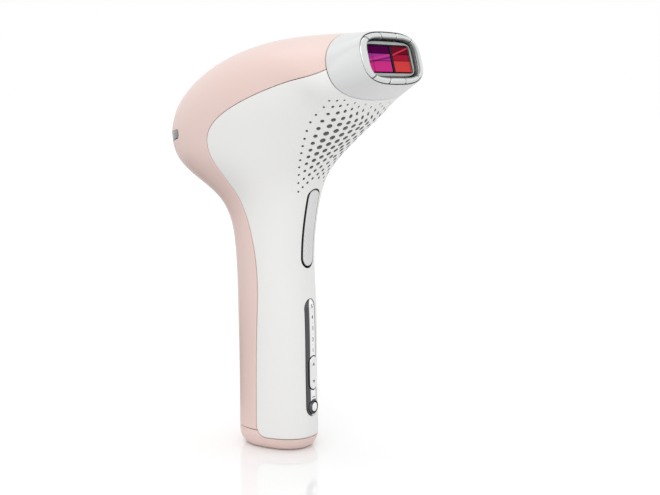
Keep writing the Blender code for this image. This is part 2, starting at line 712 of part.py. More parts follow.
def make_flash_button():
    """The long trigger on the front of the neck, hinged at its top on a pin held by the seal plate."""
    button = slot_solid("flash_button", FLASH_BUTTON, 0.2, 0.9, -3.0, "white_shell", rows=9)
    name = "flash_button_seal"
    seal = slot_solid(name, FLASH_BUTTON, -2.6, -2.6, -3.8, "dark_rubber", grow=2.4, rows=9)
    opening = slot_solid("seal_cutter", FLASH_BUTTON, 2, 2, -8, "dark_rubber", grow=0.5, rows=9)
    cut(seal, opening)
    boss = box("button_boss", (4.4, 6.0, 5.4), (0, -15.6, PIVOT_UP), "white_shell", bevel=0)
    cut(button, boss, "UNION")
    for side in (-1, 1):
        centre = (side * 4.65, -14.4, PIVOT_UP)
        ear = box(f"ear_{side + 1}", (2.6, 4.1, 4.6), centre, "dark_rubber", bevel=0)
        cut(seal, ear, "UNION")
    bore = ((PIVOT_RADIUS + 0.1, -12), (PIVOT_RADIUS + 0.1, 12))
    place = (0, -PIVOT_FORWARD, PIVOT_UP)
    drill = turned("pivot_drill", bore, place, (1, 0, 0), "steel")
    cut(button, drill)
    cut(seal, drill)
    pin = ((PIVOT_RADIUS, -6.6), (PIVOT_RADIUS, 6.6))
    turned("flash_button_pin", pin, place, (1, 0, 0), "steel")
    hang_on(button, pivot_empty("flash_button_axis", PIVOT_FORWARD, PIVOT_UP))


def main():
    for obj in list(bpy.data.objects):
        bpy.data.objects.remove(obj, do_unlink=True)
    make_front_shell()
    make_rear_shell()
    make_base_cap()
    make_charging_socket()
    make_ready_light()
    make_panel()
    make_flash_button()
    make_control_board()
    make_power_supply()
    window = window_empty()
    make_attachment_housing(window)
    make_pads(window)
    make_window(window)
    make_optical_head(window)
    make_lamp(window)
    make_fan(window)


main()
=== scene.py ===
"""Looks of a handheld IPL hair remover: shells, attachment, controls and works in a pale studio.

The sizes of the pieces are in millimetres. Meshes are made in metres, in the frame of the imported
model: +Z up, the flash window facing -Y, symmetric about X = 0.
"""

import json
import logging
import math
from collections.abc import Callable
from dataclasses import dataclass, field
from enum import Enum

import bmesh
import bpy
import numpy as np
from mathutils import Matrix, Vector
from mathutils.kdtree import KDTree


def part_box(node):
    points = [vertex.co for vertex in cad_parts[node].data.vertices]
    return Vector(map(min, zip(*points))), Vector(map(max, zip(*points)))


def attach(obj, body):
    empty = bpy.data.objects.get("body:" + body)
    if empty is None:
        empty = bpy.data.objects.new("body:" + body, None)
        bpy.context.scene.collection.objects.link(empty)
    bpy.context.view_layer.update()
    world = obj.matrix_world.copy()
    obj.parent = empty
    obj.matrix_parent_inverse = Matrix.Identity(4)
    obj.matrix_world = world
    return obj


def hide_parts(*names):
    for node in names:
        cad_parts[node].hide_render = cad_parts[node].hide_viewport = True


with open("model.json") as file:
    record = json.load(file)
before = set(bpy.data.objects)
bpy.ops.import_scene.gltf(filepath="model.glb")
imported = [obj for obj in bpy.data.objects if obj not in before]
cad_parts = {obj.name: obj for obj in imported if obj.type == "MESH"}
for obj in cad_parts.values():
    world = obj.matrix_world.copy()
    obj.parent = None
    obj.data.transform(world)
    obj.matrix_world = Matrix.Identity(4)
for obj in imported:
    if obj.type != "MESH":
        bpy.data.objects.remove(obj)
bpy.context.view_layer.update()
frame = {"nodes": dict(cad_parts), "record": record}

MM = 0.001
log = logging.getLogger("hair_remover")
Colour = tuple[float, float, float]
Tree = bpy.types.NodeTree
Socket = bpy.types.NodeSocket
Piece = bpy.types.Object
Shade = bpy.types.Node
Grids = tuple[np.ndarray, np.ndarray]
BUMP_REACH = 0.0001
GLOW_REACH = 0.004


class Side(Enum):
    """The two sides of the object, as a sign on X."""

    LEFT = -1
    RIGHT = 1


class Surface(Enum):
    """Which texture a finish carries."""

    MOULDED = "moulded"
    POLISHED = "polished"
    BRUSHED = "brushed"
    GRIP = "grip"


# ---- Finishes -----------------------------------------------------------------------------------


@dataclass(frozen=True)
class Finish:
    """A finish: the plain values of its shader and the texture laid over them."""

    name: str
    colour: Colour
    roughness: float
    metallic: float = 0.0
    coat: float = 0.0
    coat_roughness: float = 0.1
    specular: float = 0.5
    subsurface: float = 0.0
    transmission: float = 0.0
    surface: Surface = Surface.MOULDED
    drift: float = 0.015
    grain_height: float = 0.05
    spread: float = 0.06


class TextureGroups:
    """Node groups that several finishes share, each made once.

    Cells are counted for each metre, and the dimples of the grip are a given distance apart.
    """

    drift_cells: float = 45.0
    grain_cells: float = 2600.0
    smudge_cells: float = 160.0
    handling_cells: float = 300.0
    line_cells: float = 900.0
    line_stretch: float = 0.04
    dimple_across: float = 0.0018
    dimple_along: float = 0.0024
    dimple_fade: float = 900.0
    # Painted shade: how much the colour darkens in each dimple.
    dimple_shade: float = -0.13

    def __init__(self) -> None:
        """Makes the groups."""
        self.moulded = self._moulded()
        self.smudge = self._smudge()
        self.brushed = self._brushed()
        self.grip = self._grip()

    @staticmethod
    def _start(name: str, inputs: dict[str, object]) -> tuple:
        """Makes an empty group with its sockets.

        Args:
            name: the group's name.
            inputs: default values by socket name; four numbers make a colour, one a float.

        Returns:
            The tree, its input node and its output node.
        """
        tree = bpy.data.node_groups.new(name, "ShaderNodeTree")
        for label, value in inputs.items():
            kind = "NodeSocketColor" if isinstance(value, tuple) else "NodeSocketFloat"
            socket = tree.interface.new_socket(label, in_out="INPUT", socket_type=kind)
            socket.default_value = value
        for label, kind in (("Colour", "Color"), ("Roughness", "Float"), ("Height", "Float")):
            tree.interface.new_socket(label, in_out="OUTPUT", socket_type=f"NodeSocket{kind}")
        return tree, tree.nodes.new("NodeGroupInput"), tree.nodes.new("NodeGroupOutput")

    @staticmethod
    def _noise(tree: Tree, scale: float, detail: float, stretch: Vector) -> Shade:
        """A noise texture in the object's own metres.

        Args:
            tree: the group that gets it.
            scale: cells for each metre.
            detail: octaves.
            stretch: scale of each axis, for grain that runs one way.

        Returns:
            The noise node.
        """
        place = tree.nodes.new("ShaderNodeTexCoord")
        turn = tree.nodes.new("ShaderNodeMapping")
        turn.inputs["Scale"].default_value = stretch
        noise = tree.nodes.new("ShaderNodeTexNoise")
        noise.inputs["Scale"].default_value = scale
        noise.inputs["Detail"].default_value = detail
        tree.links.new(place.outputs["Object"], turn.inputs["Vector"])
        tree.links.new(turn.outputs["Vector"], noise.inputs["Vector"])
        return noise

    @staticmethod
    def _math(tree: Tree, kind: str, first: object, second: object) -> Socket:
        """One arithmetic node; each operand is a socket or a number.

        Args:
            tree: the nodes that it joins.
            kind: the operation.
            first: the first operand.
            second: the second operand.

        Returns:
            The result.
        """
        node = tree.nodes.new("ShaderNodeMath")
        node.operation = kind
        for slot, value in enumerate((first, second)):
            if isinstance(value, Socket):
                tree.links.new(value, node.inputs[slot])
            else:
                node.inputs[slot].default_value = value
        return node.outputs[0]

    def _tinted(self, tree: Tree, colour: Socket, value: Socket) -> Socket:
        """The colour with its brightness multiplied by one plus value.

        Args:
            tree: the nodes that it joins.
            colour: the colour that comes in.
            value: how much brighter it gets.

        Returns:
            The changed colour.
        """
        shade = tree.nodes.new("ShaderNodeVectorMath")
        shade.operation = "SCALE"
        tree.links.new(colour, shade.inputs[0])
        tree.links.new(self._math(tree, "ADD", value, 1.0), shade.inputs["Scale"])
        return shade.outputs[0]

    def _drifting(self, tree: Tree, start: Shade, end: Shade, noise: Shade) -> Socket:
        """Lets a noise drift the colour that passes through a group.

        Args:
            tree: the group.
            start: its input node.
            end: its output node.
            noise: the noise.

        Returns:
            The noise with its middle at zero.
        """
        centred = self._math(tree, "SUBTRACT", noise.outputs["Fac"], 0.5)
        drift = self._math(tree, "MULTIPLY", centred, start.outputs["Drift"])
        tree.links.new(self._tinted(tree, start.outputs["Colour"], drift), end.inputs["Colour"])
        return centred

    def _moulded(self) -> Tree:
        """Fine spark-eroded grain with slow drifts of colour and gloss, as on moulded plastic.

        Returns:
            The group.
        """
        inputs = {
            "Colour": (0.8, 0.8, 0.8, 1.0), "Drift": 0.02, "Roughness": 0.4, "Spread": 0.05,
            "Grain": 1.0,
        }
        tree, start, end = self._start("moulded_grain", inputs)
        slow = self._noise(tree, self.drift_cells, 3.0, Vector((1, 1, 1)))
        fine = self._noise(tree, self.grain_cells, 2.0, Vector((1, 1, 1)))
        centred = self._drifting(tree, start, end, slow)
        spread = self._math(tree, "MULTIPLY", centred, start.outputs["Spread"])
        rough = self._math(tree, "ADD", start.outputs["Roughness"], spread)
        tree.links.new(rough, end.inputs["Roughness"])
        tree.links.new(
            self._math(tree, "MULTIPLY", fine.outputs["Fac"], start.outputs["Grain"]),
            end.inputs["Height"],
        )
        return tree

    def _smudge(self) -> Tree:
        """Soft patches where handling has dulled a polished face.

        Returns:
            The group.
        """
        inputs = {"Roughness": 0.1, "Dulling": 0.08, "Colour": (0.8, 0.8, 0.8, 1.0), "Drift": 0.02}
        tree, start, end = self._start("handling_smudges", inputs)
        patch = self._noise(tree, self.smudge_cells, 4.0, Vector((1, 1, 0.5)))
        sharp = self._math(tree, "POWER", patch.outputs["Fac"], 3.0)
        dull = self._math(tree, "MULTIPLY", sharp, start.outputs["Dulling"])
        tree.links.new(
            self._math(tree, "ADD", start.outputs["Roughness"], dull), end.inputs["Roughness"]
        )
        self._drifting(tree, start, end, patch)
        tree.links.new(patch.outputs["Fac"], end.inputs["Height"])
        return tree

    def _grip(self) -> Tree:
        """Slow drifts of gloss with a lattice of shallow dimples between two heights.

        Returns:
            The group.
        """
        inputs = {
            "Colour": (0.8, 0.8, 0.8, 1.0), "Drift": 0.02, "Roughness": 0.4, "Low": 0.0905,
            "High": 0.107,
        }
        tree, start, end = self._start("grip_dimples", inputs)
        place = tree.nodes.new("ShaderNodeTexCoord")
        parts = tree.nodes.new("ShaderNodeSeparateXYZ")
        tree.links.new(place.outputs["Object"], parts.inputs[0])
        turns = self._math(tree, "MULTIPLY", parts.outputs["X"], 2 * math.pi / self.dimple_across)
        across = self._math(tree, "COSINE", turns, 0.0)
        turns = self._math(tree, "MULTIPLY", parts.outputs["Z"], 2 * math.pi / self.dimple_along)
        along = self._math(tree, "COSINE", turns, 0.0)
        lattice = self._math(tree, "MULTIPLY", across, along)
        rise = self._math(tree, "SUBTRACT", parts.outputs["Z"], start.outputs["Low"])
        above = self._math(tree, "MULTIPLY", rise, self.dimple_fade)
        drop = self._math(tree, "SUBTRACT", start.outputs["High"], parts.outputs["Z"])
        below = self._math(tree, "MULTIPLY", drop, self.dimple_fade)
        band = self._math(tree, "MINIMUM", self._math(tree, "MINIMUM", above, below), 1.0)
        band = self._math(tree, "MAXIMUM", band, 0.0)
        dimples = self._math(tree, "MULTIPLY", self._math(tree, "MAXIMUM", lattice, 0.0), band)
        # Painted shade: the colour is darkened where the dimples dip.
        shade = self._math(tree, "MULTIPLY", dimples, self.dimple_shade)
        tree.links.new(self._tinted(tree, start.outputs["Colour"], shade), end.inputs["Colour"])
        slow = self._noise(tree, self.handling_cells, 2.0, Vector((1, 1, 1)))
        spread = self._math(tree, "MULTIPLY", slow.outputs["Fac"], start.outputs["Drift"])
        tree.links.new(
            self._math(tree, "ADD", start.outputs["Roughness"], spread), end.inputs["Roughness"]
        )
        tree.links.new(self._math(tree, "MULTIPLY", dimples, -1.0), end.inputs["Height"])
        return tree

    def _brushed(self) -> Tree:
        """Fine lines that run one way, as on brushed or drawn metal.

        Returns:
            The group.
        """
        inputs = {"Colour": (0.6, 0.6, 0.6, 1.0), "Drift": 0.05, "Roughness": 0.3, "Spread": 0.1}
        tree, start, end = self._start("brushed_lines", inputs)
        lines = self._noise(tree, self.line_cells, 3.0, Vector((1, 1, self.line_stretch)))
        centred = self._drifting(tree, start, end, lines)
        spread = self._math(tree, "MULTIPLY", centred, start.outputs["Spread"])
        tree.links.new(
            self._math(tree, "ADD", start.outputs["Roughness"], spread), end.inputs["Roughness"]
        )
        tree.links.new(lines.outputs["Fac"], end.inputs["Height"])
        return tree


class FinishShop:
    """Makes the material of each finish once and hands it out."""

    def __init__(self) -> None:
        """Makes the shared groups."""
        self.groups = TextureGroups()
        self.made: dict[str, bpy.types.Material] = {}

    def material(self, finish: Finish) -> bpy.types.Material:
        """The material of a finish.

        Args:
            finish: what it looks like.

        Returns:
            The material, made on first use.
        """
        if finish.name not in self.made:
            self.made[finish.name] = self._make(finish)
        return self.made[finish.name]

    def _make(self, finish: Finish) -> bpy.types.Material:
        """Builds a finish: its texture group feeds colour, roughness and a fine bump.

        Args:
            finish: what it looks like.

        Returns:
            The material.
        """
        made = bpy.data.materials.new(finish.name)
        made.use_nodes = True
        tree = made.node_tree
        shader = tree.nodes["Principled BSDF"]
        shader.inputs["Metallic"].default_value = finish.metallic
        shader.inputs["Coat Weight"].default_value = finish.coat
        shader.inputs["Coat Roughness"].default_value = finish.coat_roughness
        shader.inputs["Specular IOR Level"].default_value = finish.specular
        shader.inputs["Subsurface Weight"].default_value = finish.subsurface
        shader.inputs["Subsurface Scale"].default_value = GLOW_REACH
        shader.inputs["Transmission Weight"].default_value = finish.transmission
        texture = tree.nodes.new("ShaderNodeGroup")
        texture.node_tree = self._group(finish)
        texture.inputs["Colour"].default_value = (*finish.colour, 1.0)
        texture.inputs["Roughness"].default_value = finish.roughness
        texture.inputs["Drift"].default_value = finish.drift
        if "Spread" in texture.inputs:
            texture.inputs["Spread"].default_value = finish.spread
        if "Dulling" in texture.inputs:
            texture.inputs["Dulling"].default_value = finish.spread
        tree.links.new(texture.outputs["Colour"], shader.inputs["Base Color"])
        tree.links.new(texture.outputs["Roughness"], shader.inputs["Roughness"])
        bump = tree.nodes.new("ShaderNodeBump")
        bump.inputs["Strength"].default_value = finish.grain_height
        bump.inputs["Distance"].default_value = BUMP_REACH
        tree.links.new(texture.outputs["Height"], bump.inputs["Height"])
        tree.links.new(bump.outputs["Normal"], shader.inputs["Normal"])
        made.diffuse_color = (*finish.colour, 1.0)
        return made

    def _group(self, finish: Finish) -> Tree:
        """The texture group that a finish's surface asks for.

        Args:
            finish: what it looks like.

        Returns:
            The shared group.
        """
        if finish.surface is Surface.POLISHED:
            return self.groups.smudge
        if finish.surface is Surface.BRUSHED:
            return self.groups.brushed
        if finish.surface is Surface.GRIP:
            return self.groups.grip
        return self.groups.moulded


def polished(
    name: str, colour: Colour, roughness: float, spread: float, **values: float
) -> Finish:
    """A polished finish with a trace of handling.

    Args:
        name: the finish's name.
        colour: its colour.
        roughness: its roughness where it is clean.
        spread: how much duller it gets where it is handled.
        values: other values of the finish.

    Returns:
        The finish.
    """
    polish = {"surface": Surface.POLISHED, "grain_height": 0.01}
    return Finish(name, colour, roughness, spread=spread, **polish, **values)


WHITE_SHELL = Finish("soft_white_shell", (0.80, 0.796, 0.782), 0.34, coat=0.25, coat_roughness=0.18)
PINK_SHELL = Finish("rose_shell", (0.765, 0.585, 0.54), 0.36, coat=0.2, coat_roughness=0.2)
ATTACHMENT_WHITE = Finish(
    "attachment_white", (0.645, 0.65, 0.65), 0.3, coat=0.3, coat_roughness=0.15
)
# Painted shade: near-black for the attachment mouth's inner walls and floor, so the gap round the
# pads reads dark.
MOUTH_PAINTED_SHADE = Finish("mouth_painted_shade", (0.05, 0.055, 0.055), 0.6)
# Painted shade: dark grey walls and floors of the vent holes, which stop short of the shell's
# inside.
VENT_PAINTED_SHADE = Finish("vent_painted_shade", (0.29, 0.29, 0.295), 0.6)
# Painted shade: near-black for every face of the window surround but its flat ledge, the cove above
# all.
FRAME_COVE_PAINTED_SHADE = Finish("frame_cove_painted_shade", (0.10, 0.115, 0.11), 0.35)
SATIN_SILVER = Finish(
    "satin_silver", (0.72, 0.745, 0.74), 0.22, metallic=0.85, drift=0.02, grain_height=0.02,
    spread=0.03,
)
# Painted dark reflection: darker satin silver for the pads' inner flanks.
SILVER_PAINTED_DARK_REFLECTION = Finish(
    "silver_painted_dark_reflection", (0.36, 0.38, 0.375), 0.3, metallic=0.85, drift=0.02, grain_height=0.02,
    spread=0.03,
)
FRAME_GREY = Finish("frame_grey", (0.40, 0.425, 0.41), 0.38)
RIB_BLACK = Finish("rib_black", (0.008, 0.002, 0.01), 0.5, specular=0.08)
CHROME = polished("polished_chrome", (0.96, 0.96, 0.965), 0.07, 0.12, metallic=1.0)
# Dimmer and darkest chrome: painted dark reflections on the strip's sides, on a band of the power
# button and on its ring.
CHROME_PAINTED_DIM_REFLECTION = polished("chrome_painted_dim_reflection", (0.42, 0.42, 0.43), 0.12, 0.12, metallic=1.0)
CHROME_PAINTED_DARK_REFLECTION = polished("chrome_painted_dark_reflection", (0.11, 0.11, 0.115), 0.12, 0.12, metallic=1.0)
ROCKER_SILVER = polished("rocker_silver", (0.88, 0.88, 0.89), 0.2, 0.1, metallic=0.9)
MARK_GREY = Finish("mark_grey", (0.16, 0.16, 0.17), 0.5)
TRIGGER_WHITE = Finish(
    "trigger_white", (0.69, 0.69, 0.69), 0.4, surface=Surface.GRIP, grain_height=0.5
)
# Black of the flash button's rubber seal; the same black is painted shade on the controls' sideways
# faces and on the walls of the trigger's opening, so their gaps read dark.
SEAL_BLACK_AND_GAP_SHADE = Finish("seal_black_and_painted_gap_shade", (0.02, 0.02, 0.022), 0.6)
SMOKED = polished("smoked_window", (0.15, 0.145, 0.145), 0.1, 0.05, coat=0.6)
SOCKET_BLACK = Finish("socket_black", (0.03, 0.03, 0.032), 0.45)
NICKEL = Finish("nickel", (0.72, 0.70, 0.66), 0.22, metallic=1.0, surface=Surface.BRUSHED)
STEEL = Finish("bright_steel", (0.58, 0.58, 0.6), 0.28, metallic=1.0, surface=Surface.BRUSHED)
MIRROR = polished("reflector_mirror", (0.92, 0.92, 0.92), 0.05, 0.05, metallic=1.0)
QUARTZ = polished("quartz", (0.93, 0.93, 0.9), 0.04, 0.02, transmission=0.8)
COPPER = Finish(
    "lacquered_copper", (0.66, 0.30, 0.15), 0.3, metallic=1.0, surface=Surface.BRUSHED, drift=0.2
)
BOARD_GREEN = Finish("board_green", (0.02, 0.14, 0.06), 0.4, coat=0.4, drift=0.15)
GREY_PLASTIC = Finish("grey_plastic", (0.30, 0.31, 0.32), 0.5)
BLACK_PLASTIC = Finish("black_plastic", (0.025, 0.025, 0.027), 0.45)
CELL_BLUE = Finish("cell_sleeve", (0.05, 0.15, 0.42), 0.32, coat=0.4, drift=0.05)
CAN_NAVY = Finish("capacitor_sleeve", (0.03, 0.035, 0.10), 0.3, coat=0.4, drift=0.05)
LIGHT_GUIDE = Finish("light_guide", (0.86, 0.88, 0.88), 0.25, subsurface=0.3)


# ---- Shapes -------------------------------------------------------------------------------------


def wall_faces(rows: int, cols: int, wrap: bool = False) -> list[tuple[int, ...]]:
    """Quads between successive closed loops.

    Args:
        rows: how many loops there are.
        cols: how many points each has.
        wrap: whether the last loop joins the first.

    Returns:
        The faces, as tuples of point numbers.
    """
    last = rows if wrap else rows - 1
    return [
        (
            i * cols + j, i * cols + (j + 1) % cols, (i + 1) % rows * cols + (j + 1) % cols,
            (i + 1) % rows * cols + j,
        )
        for i in range(last)
        for j in range(cols)
    ]


@dataclass
class Maker:
    """Makes the pieces: meshes from millimetre points, dressed and hung on their bodies."""

    shop: FinishShop

    def mesh(
        self, name: str, points: np.ndarray, faces: list, finish: Finish, sharp: float = 35.0
    ) -> Piece:
        """A smooth-shaded mesh object with its faces turned outwards.

        Args:
            name: the piece's name.
            points: its points, in millimetres.
            faces: its faces, as tuples of point numbers.
            finish: what it is dressed in.
            sharp: edges that turn more than this many degrees stay sharp.

        Returns:
            The piece.
        """
        mesh = bpy.data.meshes.new(name)
        mesh.from_pydata((np.asarray(points, float).reshape(-1, 3) * MM).tolist(), [], faces)
        shape = bmesh.new()
        shape.from_mesh(mesh)
        bmesh.ops.recalc_face_normals(shape, faces=shape.faces)
        shape.to_mesh(mesh)
        shape.free()
        mesh.shade_smooth()
        mesh.set_sharp_from_angle(angle=math.radians(sharp))
        mesh.materials.append(self.shop.material(finish))
        obj = bpy.data.objects.new(name, mesh)
        bpy.context.scene.collection.objects.link(obj)
        return obj

    def stack(self, name: str, loops: np.ndarray, finish: Finish, sharp: float = 35.0) -> Piece:
        """A piece skinned over successive loops and capped at both ends.

        Args:
            name: the piece's name.
            loops: rows of points in millimetres, one for each loop.
            finish: what it is dressed in.
            sharp: edges that turn more than this many degrees stay sharp.

        Returns:
            The piece.
        """
        loops = np.asarray(loops)
        rows, cols = loops.shape[:2]
        faces = wall_faces(rows, cols)
        faces.append(tuple(range(cols)))
        faces.append(tuple(range((rows - 1) * cols, rows * cols)))
        return self.mesh(name, loops, faces, finish, sharp)

    def ring(self, name: str, loops: np.ndarray, finish: Finish, sharp: float = 35.0) -> Piece:
        """A piece with a hole through it, whose loops go round its cross-section."""
        loops = np.asarray(loops)
        return self.mesh(name, loops, wall_faces(*loops.shape[:2], wrap=True), finish, sharp)

    def sheet(
        self, name: str, outer: np.ndarray, inner: np.ndarray, finish: Finish, sharp: float = 35.0
    ) -> Piece:
        """A piece between two grids of the same shape, closed round their edges.

        Args:
            name: the piece's name.
            outer: the outer grid, in millimetres.
            inner: the inner grid.
            finish: what it is dressed in.
            sharp: edges that turn more than this many degrees stay sharp.

        Returns:
            The piece.
        """
        rows, cols = outer.shape[:2]
        faces = wall_faces(rows, 2 * cols)
        for first in (0, (rows - 1) * 2 * cols):
            for j in range(cols - 1):
                far = first + 2 * cols - 1 - j
                faces.append((first + j, first + j + 1, far - 1, far))
        return self.mesh(
            name, np.concatenate([outer, inner[:, ::-1]], axis=1), faces, finish, sharp
        )

    def turned(
        self, name: str, profile: tuple, centre: tuple, axis: tuple, finish: Finish, sides: int = 48
    ) -> Piece:
        """A solid of revolution; profile lists radius and distance along axis.

        Args:
            name: the piece's name.
            profile: radius and distance along the axis of each ring.
            centre: its middle, in millimetres.
            axis: its axis, as a unit vector.
            finish: what it is dressed in.
            sides: points round each ring.

        Returns:
            The piece.
        """
        turn = np.linspace(0, 2 * np.pi, sides, endpoint=False)
        axis = np.array(axis, float)
        first = np.roll(axis, 1)
        circle = np.cos(turn)[:, None] * first + np.sin(turn)[:, None] * np.cross(axis, first)
        loops = [np.array(centre) + radius * circle + along * axis for radius, along in profile]
        return self.stack(name, loops, finish)

    def second_finish(self, obj: Piece, finish: Finish, chosen: Callable[[int], bool]) -> None:
        """Dresses the chosen faces of a piece in a second finish.

        Args:
            obj: the piece.
            finish: the second finish.
            chosen: tells from a face's number whether it takes the second finish.
        """
        obj.data.materials.append(self.shop.material(finish))
        for face in obj.data.polygons:
            if chosen(face.index):
                face.material_index = len(obj.data.materials) - 1

    @staticmethod
    def place(obj: Piece, body: str, slot: str, *nodes: str) -> Piece:
        """Hangs a piece on a body in place of CAD nodes.

        Args:
            obj: the piece.
            body: the body that it moves with.
            slot: the record's material slot; not used.
            nodes: the CAD nodes that it stands for.

        Returns:
            The piece.
        """
        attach(obj, body)
        if nodes:
            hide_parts(*nodes)
        log.info("%s rides on %s", obj.name, body)
        return obj


def cut(target: Piece, *cutters: Piece) -> None:
    """Takes the cutters out of target and removes them.

    Args:
        target: the piece that is cut.
        cutters: closed shapes.
    """
    for cutter in cutters:
        change = target.modifiers.new("Cut", "BOOLEAN")
        change.operation = "DIFFERENCE"
        change.object = cutter
        change.solver = "EXACT"
        change.material_mode = "TRANSFER"
    graph = bpy.context.evaluated_depsgraph_get()
    fresh = bpy.data.meshes.new_from_object(target.evaluated_get(graph))
    target.modifiers.clear()
    target.data = fresh
    for cutter in cutters:
        bpy.data.objects.remove(cutter)


def superellipse(angle: np.ndarray, power: object) -> Grids:
    """Cosine and sine of a unit superellipse in the direction of angle.

    Args:
        angle: directions, in radians.
        power: squareness; 2 is an ellipse.

    Returns:
        The two coordinates.
    """
    cosine, sine = np.cos(angle), np.sin(angle)
    radius = (np.abs(cosine) ** power + np.abs(sine) ** power) ** (-1 / power)
    return cosine * radius, sine * radius


def spline(knots: np.ndarray, values: np.ndarray, at: np.ndarray) -> np.ndarray:
    """The natural cubic spline through values (a row for each knot), read at each number of at.

    Args:
        knots: where the rows stand.
        values: a row of numbers for each knot.
        at: where it is read.

    Returns:
        A row of numbers for each place.
    """
    count = len(knots)
    step = np.diff(knots)
    system = np.eye(count)
    target = np.zeros_like(values)
    for i in range(1, count - 1):
        system[i, i - 1 : i + 2] = step[i - 1], 2 * (step[i - 1] + step[i]), step[i]
        rise = (values[i + 1] - values[i]) / step[i]
        target[i] = 6 * (rise - (values[i] - values[i - 1]) / step[i - 1])
    bends = np.linalg.solve(system, target)
    at = np.asarray(at, float)
    cell = np.clip(np.searchsorted(knots, at, side="right") - 1, 0, count - 2)
    width = (knots[cell + 1] - knots[cell])[..., None]
    left = (knots[cell + 1] - at)[..., None] / width
    right = 1 - left
    bow = (left**3 - left) * bends[cell] + (right**3 - right) * bends[cell + 1]
    return left * values[cell] + right * values[cell + 1] + bow * width**2 / 6


